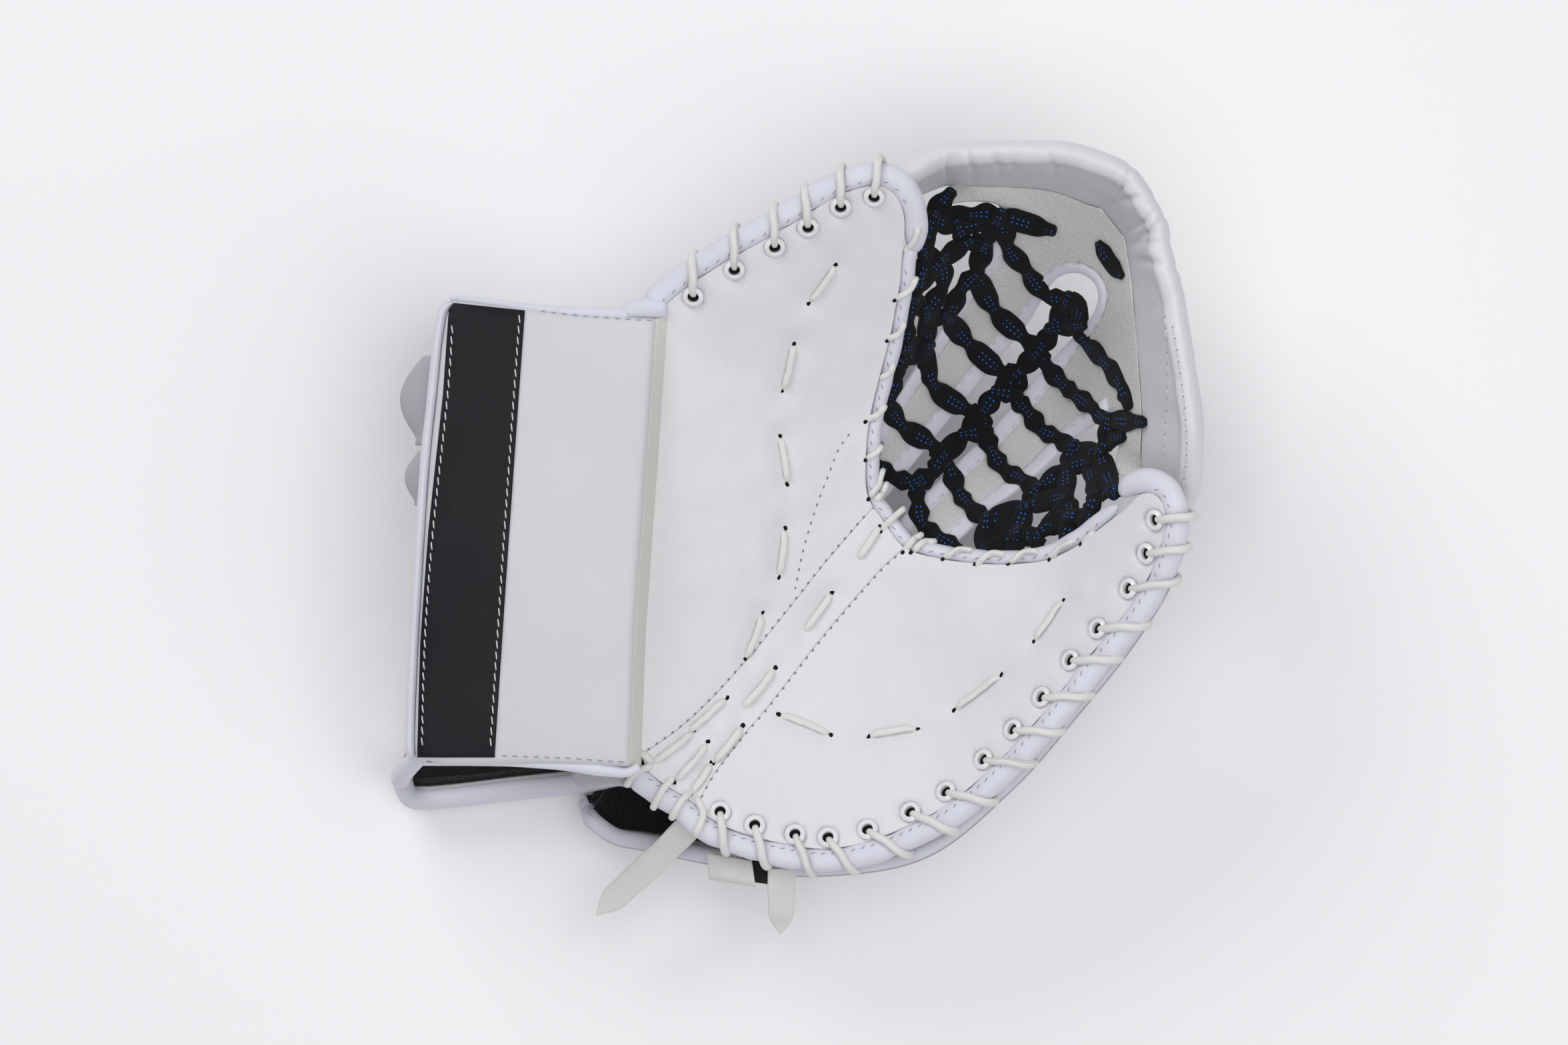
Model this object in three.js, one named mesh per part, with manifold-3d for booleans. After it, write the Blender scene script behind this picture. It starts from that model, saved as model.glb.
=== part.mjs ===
// Goalie catcher glove for the left hand, lying palm up on its back shells.
// Millimetres. +X runs from the cuff to the rim of the pocket, +Y from the little finger to the
// thumb, +Z up out of the palm. The origin is at the middle of the footprint, on the floor.
import * as THREE from 'three';
import { mergeVertices } from 'three/addons/utils/BufferGeometryUtils.js';
import Module from 'manifold-3d';

const wasm = await Module();
wasm.setup();

// Driving dimensions.
const GLOVE_LENGTH = 350;
const GLOVE_WIDTH = 320;
const GLOVE_DEPTH = 140;

const PALM_THICKNESS = 10;
const CUFF_THICKNESS = 20;
const WRAP_THICKNESS = 8;
const BACK_WALL = 8;
const LINING_THICKNESS = 1.5;
const CUFF_BAND_THICKNESS = 1.2;
const CUFF_ROLL_WIDTH = 6;
const HINGE_THICKNESS = 6;
const HINGE_WIDTH = 3.4;

const EDGE_ROLL_WIDTH = 9.4;
const EDGE_ROLL_HEIGHT = 11;
const POCKET_ROLL_WIDTH = 5.2;
const POCKET_ROLL_HEIGHT = 11;
const BACK_OVERHANG = 7;

const EYELET_OUTER_RADIUS = 4.6;
const EYELET_HOLE_RADIUS = 2.6;
const EYELET_HEIGHT = 1.2;
const EYELET_MARGIN = 0.3;
const LACE_RADIUS = 1.9;
const LACE_SLANT = 0.45;
const LACE_SLACK = 2.3;

const RIM_HEIGHT = 50;
const RIM_THICKNESS = 11;
const RIM_FOOT_THICKNESS = 6;

const TEE_THICKNESS = 2.6;
const BINDING_WIDTH = 8;
const BINDING_THICKNESS = 3.4;
const NET_LACE_WIDTH = 7.5;
const NET_LACE_THICKNESS = 2;

const STRAP_WIDTH = 12;
const STRAP_THICKNESS = 2.4;
const TAB_THICKNESS = 2.6;
const TAB_HEIGHT = 26;
const TAB_REACH = 13;
const KEEPER_REACH = 10;
const KEEPER_THICKNESS = 1.4;
const ELASTIC_THICKNESS = 1;
const SEAT_DEPTH = 3;
const SEAT_LIFT = 1.8;
const TAB_ROOT = 9;
const HINGE_DROP = 2;

const GAP = 0.3;
const GRID_STEP = 24;
const POCKET_STEP = 20;

// Heights of the palm's face. Columns: along, across, height, as shares of length, width, depth.
const PALM_FACE = [
  [-0.196, -0.320, 0.557],
  [-0.159, -0.378, 0.543],
  [-0.076, -0.423, 0.571],
  [0.017, -0.442, 0.600],
  [0.143, -0.420, 0.643],
  [0.269, -0.298, 0.714],
  [0.376, -0.155, 0.800],
  [0.425, -0.081, 0.857],
  [0.444, 0.004, 0.914],
  [0.384, -0.014, 0.771],
  [0.313, -0.065, 0.614],
  [0.229, -0.068, 0.514],
  [0.139, -0.048, 0.443],
  [0.094, 0.015, 0.429],
  [0.092, 0.125, 0.471],
  [0.114, 0.227, 0.571],
  [0.131, 0.333, 0.700],
  [0.119, 0.408, 0.800],
  [0.062, 0.418, 0.800],
  [-0.015, 0.370, 0.757],
  [-0.106, 0.307, 0.700],
  [-0.159, 0.270, 0.657],
  [-0.173, 0.004, 0.586],
  [-0.032, -0.176, 0.457],
  [-0.032, 0.057, 0.514],
  [0.182, -0.261, 0.514],
];

// Heights of the pocket's floor, in the same columns. Its edges hang from the palm and the rim.
const POCKET_FLOOR = [
  [0.269, 0.174, 0.143],
  [0.182, 0.248, 0.286],
  [0.172, 0.079, 0.214],
  [0.279, 0.036, 0.257],
  [0.357, 0.100, 0.286],
  [0.367, 0.227, 0.314],
  [0.279, 0.323, 0.329],
  [0.211, 0.344, 0.400],
  [0.338, 0.015, 0.443],
];

// Heights of the cuff's face, in the same columns.
const CUFF_FACE = [
  [-0.421, 0.287, 0.715],
  [-0.170, 0.261, 0.700],
  [-0.201, -0.331, 0.690],
  [-0.476, -0.338, 0.705],
  [-0.320, -0.030, 0.745],
];

// Lines through the eyelets. Columns: along, across, 1 where an eyelet sits.
const THUMB_LINE = [
  [-0.152, 0.268, 0],
  [-0.125, 0.292, 1],
  [-0.074, 0.328, 1],
  [-0.024, 0.358, 1],
  [0.017, 0.384, 1],
  [0.057, 0.411, 1],
  [0.098, 0.424, 1],
  [0.116, 0.412, 0],
  [0.122, 0.388, 0],
  [0.120, 0.354, 0],
];
const FINGER_LINE = [
  [0.441, -0.010, 1],
  [0.431, -0.055, 1],
  [0.410, -0.102, 1],
  [0.373, -0.156, 1],
  [0.340, -0.199, 1],
  [0.305, -0.249, 1],
  [0.270, -0.293, 1],
  [0.234, -0.334, 1],
  [0.188, -0.378, 1],
  [0.144, -0.406, 1],
  [0.091, -0.430, 1],
  [0.042, -0.441, 1],
  [0.001, -0.437, 1],
  [-0.049, -0.425, 1],
  [-0.092, -0.407, 1],
  [-0.122, -0.379, 0],
  [-0.151, -0.360, 0],
  [-0.172, -0.342, 0],
];

// Plan lines of the palm. Columns: along, across.
const POCKET_EDGE = [
  [0.133, 0.342],
  [0.131, 0.310],
  [0.126, 0.280],
  [0.120, 0.243],
  [0.107, 0.187],
  [0.094, 0.125],
  [0.090, 0.073],
  [0.092, 0.025],
  [0.110, -0.008],
  [0.139, -0.048],
  [0.186, -0.063],
  [0.229, -0.069],
  [0.269, -0.070],
  [0.313, -0.064],
  [0.349, -0.045],
  [0.384, -0.015],
  [0.404, 0.003],
];
const FINGER_TIP = [
  [0.4125, 0.0120],
  [0.4222, 0.0234],
  [0.4339, 0.0265],
  [0.4446, 0.0213],
  [0.4510, 0.0086],
];
const CREASE = [
  [-0.192, -0.331],
  [-0.186, -0.155],
  [-0.172, 0.057],
  [-0.159, 0.262],
];
const BREAK_UPPER = [
  [-0.250, -0.370],
  [-0.163, -0.310],
  [-0.114, -0.266],
  [-0.059, -0.201],
  [-0.004, -0.128],
  [0.044, -0.062],
  [0.099, 0.007],
  [0.160, 0.080],
];
const BREAK_LOWER = [
  [-0.160, -0.500],
  [-0.117, -0.389],
  [-0.090, -0.341],
  [-0.059, -0.298],
  [-0.032, -0.264],
  [0.031, -0.176],
  [0.102, -0.085],
  [0.133, -0.053],
  [0.200, 0.016],
];

// Plan lines of the cuff.
const CUFF_TOP = [
  [-0.363, 0.280],
  [-0.266, 0.268],
];
const CUFF_BOTTOM = [
  [-0.314, -0.331],
  [-0.426, -0.342],
];
const CUFF_END = [
  [-0.476, -0.338],
  [-0.470, -0.208],
  [-0.455, 0.004],
  [-0.443, 0.163],
  [-0.437, 0.227],
  [-0.421, 0.287],
];
const BAND_OUTLINE = [
  [-0.415, 0.266],
  [-0.334, 0.266],
  [-0.369, -0.326],
  [-0.464, -0.326],
];

// The cuff's wrap round the wrist. Columns: top along, top across, lip along, lip across.
const WRAP_SECTIONS = [
  [-0.411, 0.272, -0.501, -0.372],
  [-0.404, 0.272, -0.494, -0.400],
  [-0.385, 0.270, -0.473, -0.411],
  [-0.304, 0.262, -0.353, -0.397],
  [-0.236, 0.256, -0.269, -0.387],
  [-0.175, 0.252, -0.196, -0.371],
];

// Back shells. Columns: inner edge along, across, how far that edge rises to the palm,
// outer edge along, across, its extra drop and the shell's floor.
const THUMB_BACK = [
  [-0.185, -0.316, 0, -0.155, 0.274, 0.020, 0],
  [-0.102, -0.225, 0, -0.103, 0.320, 0, 0],
  [-0.037, -0.140, 0, -0.050, 0.358, 0, 0],
  [0.021, -0.062, 0, 0.004, 0.394, 0, 0],
  [0.066, 0.010, 0.3, 0.042, 0.421, 0, 0.05],
  [0.070, 0.121, 1, 0.072, 0.438, 0, 0.18],
  [0.090, 0.227, 1, 0.098, 0.436, 0, 0.36],
  [0.105, 0.323, 1, 0.118, 0.420, 0, 0.52],
];
const FINGER_BACK = [
  [-0.268, -0.393, 0, -0.255, -0.433, 0.270, 0.030],
  [-0.246, -0.392, 0, -0.222, -0.458, 0.250, 0.005],
  [-0.184, -0.386, 0, -0.183, -0.467, 0.200, 0],
  [-0.113, -0.274, 0, -0.090, -0.484, 0.050, 0],
  [-0.027, -0.172, 0, 0.026, -0.496, 0, 0],
  [0.046, -0.080, 0, 0.162, -0.471, 0, 0],
  [0.128, -0.078, 1, 0.269, -0.378, 0, 0.06],
  [0.222, -0.100, 1, 0.352, -0.274, 0, 0.19],
  [0.300, -0.096, 1, 0.415, -0.187, 0, 0.36],
  [0.370, -0.058, 1, 0.461, -0.107, 0, 0.56],
  [0.412, -0.024, 1, 0.482, -0.045, 0, 0.68],
];
const LINED_SECTIONS = 7;

// The rim of the pocket. Columns: along, across, height, lean and drop of the inner face.
const RIM_SECTIONS = [
  [0.110, 0.452, 0.690, 0.040, 0.50],
  [0.143, 0.476, 0.700, 0.042, 0.70],
  [0.182, 0.496, 0.765, 0.046, 0.95],
  [0.223, 0.499, 0.835, 0.049, 1],
  [0.297, 0.500, 0.885, 0.054, 1],
  [0.341, 0.495, 0.915, 0.057, 1],
  [0.383, 0.481, 0.935, 0.060, 1],
  [0.415, 0.461, 0.950, 0.057, 1],
  [0.437, 0.430, 0.960, 0.054, 1],
  [0.455, 0.392, 0.965, 0.050, 1],
  [0.462, 0.351, 0.971, 0.049, 1],
  [0.476, 0.291, 0.971, 0.056, 1],
  [0.489, 0.203, 0.965, 0.062, 1],
  [0.499, 0.136, 0.945, 0.068, 1],
  [0.501, 0.088, 0.915, 0.070, 1],
  [0.500, 0.040, 0.830, 0.066, 0.90],
  [0.491, 0.005, 0.760, 0.056, 0.70],
  [0.482, -0.020, 0.720, 0.045, 0.50],
];

// The tee: two straps and a head. Columns: along, across.
const TEE_LEFT_EDGE = [
  [0.096, 0.108],
  [0.135, 0.177],
  [0.186, 0.261],
  [0.210, 0.310],
  [0.240, 0.355],
  [0.259, 0.392],
  [0.262, 0.410],
  [0.248, 0.423],
  [0.205, 0.424],
  [0.168, 0.412],
];
const TEE_SLOT_EDGE = [
  [0.128, -0.017],
  [0.160, 0.023],
  [0.202, 0.066],
  [0.252, 0.118],
  [0.293, 0.170],
  [0.335, 0.218],
  [0.370, 0.252],
  [0.384, 0.275],
  [0.388, 0.298],
  [0.380, 0.321],
  [0.363, 0.335],
  [0.340, 0.339],
  [0.320, 0.327],
  [0.311, 0.307],
  [0.294, 0.265],
  [0.263, 0.218],
  [0.222, 0.162],
  [0.182, 0.108],
  [0.140, 0.052],
  [0.108, 0.010],
];
const TEE_RIGHT_EDGE = [
  [0.182, -0.066],
  [0.249, 0.000],
  [0.306, 0.047],
  [0.354, 0.099],
  [0.400, 0.136],
  [0.409, 0.110],
  [0.398, 0.052],
];

// The net's knots. Columns: along, across.
const KNOTS = {
  tailA: [0.194, 0.434],
  a1: [0.173, 0.401],
  a2: [0.205, 0.392],
  a3: [0.223, 0.408],
  a4: [0.256, 0.405],
  tailB: [0.318, 0.386],
  b1: [0.158, 0.358],
  b2: [0.181, 0.344],
  b3: [0.216, 0.370],
  b4: [0.240, 0.370],
  c1: [0.186, 0.310],
  c2: [0.210, 0.308],
  c3: [0.163, 0.275],
  d1: [0.152, 0.300],
  d2: [0.166, 0.230],
  d3: [0.133, 0.210],
  e1: [0.125, 0.175],
  e2: [0.117, 0.154],
  e3: [0.104, 0.066],
  s1: [0.267, 0.365],
  s2: [0.292, 0.332],
  s3: [0.317, 0.299],
  k1: [0.343, 0.293],
  t1: [0.230, 0.330],
  t2: [0.253, 0.280],
  k2: [0.291, 0.242],
  u1: [0.192, 0.270],
  u2: [0.221, 0.234],
  k3: [0.263, 0.196],
  v1: [0.175, 0.177],
  k4: [0.219, 0.143],
  w1: [0.136, 0.120],
  k5: [0.175, 0.094],
  x1: [0.125, 0.049],
  k6: [0.150, 0.042],
  m1: [0.327, 0.255],
  m2: [0.310, 0.225],
  m3: [0.285, 0.196],
  m4: [0.258, 0.168],
  m5: [0.237, 0.137],
  m6: [0.216, 0.109],
  m7: [0.185, 0.075],
  m8: [0.174, 0.054],
  m9: [0.153, 0.037],
  r1: [0.359, 0.286],
  r2: [0.357, 0.258],
  r3: [0.367, 0.234],
  r4: [0.389, 0.206],
  r5: [0.408, 0.172],
  r6: [0.414, 0.150],
  q1: [0.319, 0.204],
  q2: [0.340, 0.178],
  q3: [0.354, 0.163],
  q4: [0.375, 0.144],
  q5: [0.393, 0.128],
  o1: [0.281, 0.163],
  o2: [0.296, 0.141],
  o3: [0.313, 0.115],
  o4: [0.332, 0.104],
  o5: [0.352, 0.090],
  h1: [0.242, 0.113],
  h2: [0.251, 0.085],
  h3: [0.265, 0.061],
  h4: [0.288, 0.046],
  h5: [0.308, 0.035],
  g1: [0.196, 0.063],
  g2: [0.207, 0.030],
  g3: [0.220, 0.011],
  g4: [0.242, -0.010],
  i1: [0.156, 0.016],
  i2: [0.161, -0.015],
  i3: [0.182, -0.034],
  n1: [0.385, 0.086],
  n2: [0.373, 0.068],
  n3: [0.343, 0.061],
  n4: [0.371, 0.047],
  n5: [0.395, 0.030],
  n6: [0.342, 0.020],
  n7: [0.292, 0.008],
  n8: [0.279, -0.030],
  n9: [0.308, -0.027],
  p1: [0.374, 0.022],
  p2: [0.364, -0.006],
  p3: [0.346, -0.005],
  p4: [0.205, -0.050],
  p5: [0.238, -0.055],
  p6: [0.277, -0.057],
  p7: [0.306, -0.048],
  p8: [0.336, -0.040],
  p9: [0.362, -0.026],
  tailC: [0.426, 0.124],
  tailD: [0.404, 0.100],
};
const STRANDS = [
  ['tailA', 'a1', 'a3', 'a4', 'tailB'],
  ['a1', 'a2', 'a4', 's1', 's2', 's3', 'k1', 'r1', 'r2', 'r3', 'r4', 'r5', 'r6'],
  ['a1', 'b1', 'b2', 'c1', 'c3'],
  ['a2', 'b3', 'b4', 't1', 't2', 'k2', 'm2', 'q1', 'q2', 'q3', 'q4', 'q5', 'tailC'],
  ['b2', 'b3'],
  ['a4', 'b4'],
  ['b2', 'd1', 'c3', 'u1', 'c2', 't1'],
  ['c3', 'd2', 'd3', 'e1', 'e2', 'w1', 'k5', 'm7', 'g1', 'g2', 'g3', 'g4', 'n8', 'p5'],
  ['u1', 'u2', 'k3', 'm3', 'o1', 'o2', 'o3', 'o4', 'o5', 'n1', 'q5'],
  ['d2', 'v1', 'k4', 'm5', 'h1', 'h2', 'h3', 'h4', 'h5', 'n3', 'n2', 'n4', 'n5'],
  ['e3', 'x1', 'k6', 'm9', 'i1', 'i2', 'i3', 'p4'],
  ['k1', 'm1', 'm2', 'm3', 'm4', 'm5', 'm6', 'm7', 'm8', 'm9'],
  ['m1', 'r2'],
  ['m4', 'o1'],
  ['m6', 'h1'],
  ['k6', 'm8'],
  ['tailD', 'n1', 'n5'],
  ['n1', 'n2'],
  ['o5', 'n3', 'n6', 'p3', 'p8'],
  ['n4', 'p1', 'p2', 'p9'],
  ['n5', 'p1'],
  ['h5', 'n7', 'n8'],
  ['n7', 'n6', 'n9', 'n8'],
  ['g4', 'n7'],
  ['g4', 'p5'],
  ['p3', 'n9', 'p7'],
  ['p3', 'p2'],
  ['n8', 'p6'],
];
const NET_LUG = [
  [0.377, 0.369],
  [0.392, 0.341],
  [0.407, 0.320],
];

// Strap tails. Columns: share of the way from root to tip, drop below the root, share of width.
const LONG_TAIL_ENDS = [[-0.127, -0.424], [-0.248, -0.555]];
const LONG_TAIL = [
  [0, 0, 1],
  [0.30, 0.085, 1],
  [0.50, 0.120, 1],
  [0.76, 0.150, 1],
  [1, 0.165, 0.06],
];
const SHORT_TAIL_TIP = [-0.018, -0.576];
const SHORT_TAIL = [
  [0, 0, 1],
  [0.30, 0.008, 1],
  [0.68, 0.040, 0.9],
  [0.86, 0.065, 0.5],
  [1, 0.080, 0.06],
];

// Places along the finger shell's rim, counted in sections from its wrist end.
const KEEPER_SPAN = [5.65, 6.2, 6.72];
const ELASTIC_SPAN = [6.5, 6.86];
const SHORT_TAIL_SPOT = 7.34;

// Wrist tabs under the cuff's end. Columns: across of the two ends, share of the full reach.
const WRIST_TABS = [
  ['wrist_tab_upper', 0.214, 0.092, 1],
  ['wrist_tab_lower', 0.084, 0.010, 0.62],
];

const MATERIALS = {
  white_leather: { color: 0xe9ebec, roughness: 0.55, metalness: 0 },
  binding_nylon: { color: 0xdcdcec, roughness: 0.75, metalness: 0 },
  tee_leather: { color: 0xd0d2d0, roughness: 0.6, metalness: 0 },
  crease_leather: { color: 0xd9d6c6, roughness: 0.7, metalness: 0 },
  black_leather: { color: 0x17171b, roughness: 0.5, metalness: 0 },
  black_mesh: { color: 0x141417, roughness: 0.9, metalness: 0 },
  waxed_lace: { color: 0xeceae2, roughness: 0.6, metalness: 0 },
  eyelet_enamel: { color: 0xf2f2f2, roughness: 0.25, metalness: 0 },
  net_lace: { color: 0x101014, roughness: 0.85, metalness: 0 },
  strap_leather: { color: 0xdbd8d0, roughness: 0.8, metalness: 0 },
  tab_leather: { color: 0xc2c2c6, roughness: 0.7, metalness: 0 },
};

const glove = new THREE.Group();

// Plan points and vectors.
function plan(row) {
  return new THREE.Vector2(row[0] * GLOVE_LENGTH, row[1] * GLOVE_WIDTH);
}

function outline(rows) {
  return rows.map(plan);
}

function smoothLine(rows, count) {
  const curve = new THREE.SplineCurve(outline(rows));
  return curve.getPoints(count);
}

// Unit tangents of an open polyline.
function tangents(points) {
  return points.map((point, i) => {
    const before = points[Math.max(i - 1, 0)];
    const after = points[Math.min(i + 1, points.length - 1)];
    return after.clone().sub(before).normalize();
  });
}

// Moves an open polyline to its left by a distance; a negative distance moves it right.
function offsetLine(points, distance) {
  return points.map((point, i) => {
    const before = i > 0 ? point.clone().sub(points[i - 1]).normalize() : null;
    const after = i < points.length - 1 ? points[i + 1].clone().sub(point).normalize() : null;
    const first = before || after;
    const second = after || before;
    const bisector = first.clone().add(second).normalize();
    const stretch = 1 / Math.max(bisector.dot(second), 0.5);
    return new THREE.Vector2(
      point.x - bisector.y * distance * stretch,
      point.y + bisector.x * distance * stretch,
    );
  });
}

// Solves a dense linear system by elimination with row exchange.
function solve(matrix, values) {
  const size = values.length;
  const rows = matrix.map((row, i) => [...row, values[i]]);
  for (let col = 0; col < size; col += 1) {
    let best = col;
    for (let row = col + 1; row < size; row += 1) {
      if (Math.abs(rows[row][col]) > Math.abs(rows[best][col])) best = row;
    }
    [rows[col], rows[best]] = [rows[best], rows[col]];
    for (let row = col + 1; row < size; row += 1) {
      const factor = rows[row][col] / rows[col][col];
      for (let k = col; k <= size; k += 1) rows[row][k] -= factor * rows[col][k];
    }
  }
  const result = new Array(size).fill(0);
  for (let row = size - 1; row >= 0; row -= 1) {
    let sum = rows[row][size];
    for (let k = row + 1; k < size; k += 1) sum -= rows[row][k] * result[k];
    result[row] = sum / rows[row][row];
  }
  return result;
}

// A thin-plate surface through height rows. It returns millimetres at a plan point.
function heightField(table) {
  const kernel = (du, dv) => {
    const squared = du * du + dv * dv;
    return squared > 0 ? 0.5 * squared * Math.log(squared) : 0;
  };
  const count = table.length;
  const matrix = table.map(([u, v]) => [
    ...table.map(([a, b]) => kernel(u - a, v - b)), 1, u, v,
  ]);
  matrix.push([...table.map(() => 1), 0, 0, 0]);
  matrix.push([...table.map((row) => row[0]), 0, 0, 0]);
  matrix.push([...table.map((row) => row[1]), 0, 0, 0]);
  const weights = solve(matrix, [...table.map((row) => row[2]), 0, 0, 0]);
  return (x, y) => {
    const u = x / GLOVE_LENGTH;
    const v = y / GLOVE_WIDTH;
    let height = weights[count] + weights[count + 1] * u + weights[count + 2] * v;
    table.forEach(([a, b], i) => {
      height += weights[i] * kernel(u - a, v - b);
    });
    return height * GLOVE_DEPTH;
  };
}

// Flattens a height function into the facets of a square grid.
function faceted(height, step) {
  return (x, y) => {
    const i = Math.floor(x / step);
    const j = Math.floor(y / step);
    const along = x / step - i;
    const across = y / step - j;
    const near = height(i * step, j * step);
    const far = height((i + 1) * step, (j + 1) * step);
    if (along > across) {
      const corner = height((i + 1) * step, j * step);
      return near + (corner - near) * along + (far - corner) * across;
    }
    const corner = height(i * step, (j + 1) * step);
    return near + (far - corner) * along + (corner - near) * across;
  };
}

const palmCurve = heightField(PALM_FACE);
const cuffFace = heightField(CUFF_FACE);
const palmFace = faceted(palmCurve, GRID_STEP);
const CUFF_STEP = GRID_STEP * 2;
const cuffTop = faceted(cuffFace, CUFF_STEP);

// Turns a closed geometry into a solid, with its faces pointing out.
function toSolid(geometry) {
  const bare = geometry.clone();
  bare.deleteAttribute('normal');
  bare.deleteAttribute('uv');
  const merged = mergeVertices(bare, 1e-4);
  const index = Array.from(merged.index.array);
  const position = merged.attributes.position.array;
  const kept = [];
  let volume = 0;
  for (let i = 0; i < index.length; i += 3) {
    const [a, b, c] = [index[i], index[i + 1], index[i + 2]];
    if (a === b || b === c || c === a) continue;
    kept.push(a, b, c);
    const pa = new THREE.Vector3().fromArray(position, a * 3);
    const pb = new THREE.Vector3().fromArray(position, b * 3);
    const pc = new THREE.Vector3().fromArray(position, c * 3);
    volume += pa.dot(pb.cross(pc));
  }
  if (volume < 0) {
    for (let i = 0; i < kept.length; i += 3) [kept[i], kept[i + 1]] = [kept[i + 1], kept[i]];
  }
  return new wasm.Manifold(new wasm.Mesh({
    numProp: 3,
    vertProperties: new Float32Array(position),
    triVerts: new Uint32Array(kept),
  }));
}

function toGeometry(solid) {
  const mesh = solid.getMesh();
  const geometry = new THREE.BufferGeometry();
  geometry.setAttribute('position', new THREE.BufferAttribute(new Float32Array(mesh.vertProperties), 3));
  geometry.setIndex(new THREE.BufferAttribute(new Uint32Array(mesh.triVerts), 1));
  geometry.computeVertexNormals();
  return geometry;
}

// Adds a named piece to the glove.
function addPiece(name, material, solid) {
  const mesh = new THREE.Mesh(toGeometry(solid), new THREE.MeshStandardMaterial(MATERIALS[material]));
  mesh.name = name;
  glove.add(mesh);
}

function makeGeometry(points, faces) {
  const geometry = new THREE.BufferGeometry();
  geometry.setAttribute('position', new THREE.Float32BufferAttribute(points.flat(), 3));
  geometry.setIndex(faces.flat());
  return geometry;
}

// A solid between two height functions over a rectangle, on a square grid.
function gridSlab(box, top, bottom, step) {
  const firstColumn = Math.floor(box.min.x / step);
  const firstRow = Math.floor(box.min.y / step);
  const columns = Math.ceil(box.max.x / step) - firstColumn + 1;
  const rows = Math.ceil(box.max.y / step) - firstRow + 1;
  const points = [];
  for (const height of [bottom, top]) {
    for (let j = 0; j < rows; j += 1) {
      for (let i = 0; i < columns; i += 1) {
        const x = (firstColumn + i) * step;
        const y = (firstRow + j) * step;
        points.push([x, y, height(x, y)]);
      }
    }
  }
  const layer = columns * rows;
  const at = (i, j, upper) => i + j * columns + (upper ? layer : 0);
  const faces = [];
  for (let j = 0; j < rows - 1; j += 1) {
    for (let i = 0; i < columns - 1; i += 1) {
      faces.push([at(i, j, true), at(i + 1, j, true), at(i + 1, j + 1, true)]);
      faces.push([at(i, j, true), at(i + 1, j + 1, true), at(i, j + 1, true)]);
      faces.push([at(i, j, false), at(i + 1, j + 1, false), at(i + 1, j, false)]);
      faces.push([at(i, j, false), at(i, j + 1, false), at(i + 1, j + 1, false)]);
    }
  }
  const wall = (a, b, c, d) => {
    faces.push([at(a, b, false), at(c, d, false), at(c, d, true)]);
    faces.push([at(a, b, false), at(c, d, true), at(a, b, true)]);
  };
  for (let i = 0; i < columns - 1; i += 1) {
    wall(i, 0, i + 1, 0);
    wall(i + 1, rows - 1, i, rows - 1);
  }
  for (let j = 0; j < rows - 1; j += 1) {
    wall(columns - 1, j, columns - 1, j + 1);
    wall(0, j + 1, 0, j);
  }
  return toSolid(makeGeometry(points, faces));
}

// A straight prism over a plan outline, taller than the glove.
function prism(points) {
  const shape = new THREE.Shape(points);
  const geometry = new THREE.ExtrudeGeometry(shape, { depth: GLOVE_DEPTH * 2, bevelEnabled: false });
  geometry.translate(0, 0, -GLOVE_DEPTH / 2);
  return toSolid(geometry);
}

// A sheet that follows a height function inside a plan outline.
function slab(points, top, thickness, step) {
  const box = new THREE.Box2().setFromPoints(points);
  return gridSlab(box, top, (x, y) => top(x, y) - thickness, step).intersect(prism(points));
}

// Joins upright sections into one closed body. A station has a plan origin, a plan direction
// and a closed profile of points, each a distance along that direction and a height.
function sweep(stations) {
  const count = stations[0].profile.length;
  const points = stations.flatMap(({ origin, direction, profile }) => profile.map((point) => [
    origin.x + direction.x * point.x,
    origin.y + direction.y * point.x,
    point.y,
  ]));
  const faces = [];
  for (let s = 0; s < stations.length - 1; s += 1) {
    for (let i = 0; i < count; i += 1) {
      const next = (i + 1) % count;
      const a = s * count + i;
      const b = s * count + next;
      faces.push([a, b, b + count], [a, b + count, a + count]);
    }
  }
  const cap = (station, base, flip) => {
    const ring = stations[station].profile;
    const contour = ring.map((point) => point.clone());
    const turned = THREE.ShapeUtils.isClockWise(contour);
    if (turned) contour.reverse();
    THREE.ShapeUtils.triangulateShape(contour, []).forEach(([a, b, c]) => {
      const ids = [a, b, c].map((id) => base + (turned ? count - 1 - id : id));
      if (turned !== flip) ids.reverse();
      faces.push([ids[2], ids[1], ids[0]]);
    });
  };
  cap(0, 0, false);
  cap(stations.length - 1, (stations.length - 1) * count, true);
  return toSolid(makeGeometry(points, faces));
}

// A closed profile made of an open path and the same path moved to its left.
function thickProfile(path, thickness) {
  return [...path, ...offsetLine(path, thickness).reverse()];
}

// An upright ellipse as a profile.
function ovalProfile(width, height, centre, sides) {
  const points = [];
  for (let i = 0; i < sides; i += 1) {
    const angle = ((i + 0.5) / sides) * Math.PI * 2;
    points.push(new THREE.Vector2(Math.cos(angle) * width / 2, centre + Math.sin(angle) * height / 2));
  }
  return points;
}

// A roll along a plan line, centred under a height function.
function roll(line, width, height, heightAt, sides) {
  const along = tangents(line);
  return sweep(line.map((point, i) => ({
    origin: point,
    direction: new THREE.Vector2(-along[i].y, along[i].x),
    profile: ovalProfile(width, height, heightAt(point.x, point.y), sides),
  })));
}

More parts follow.
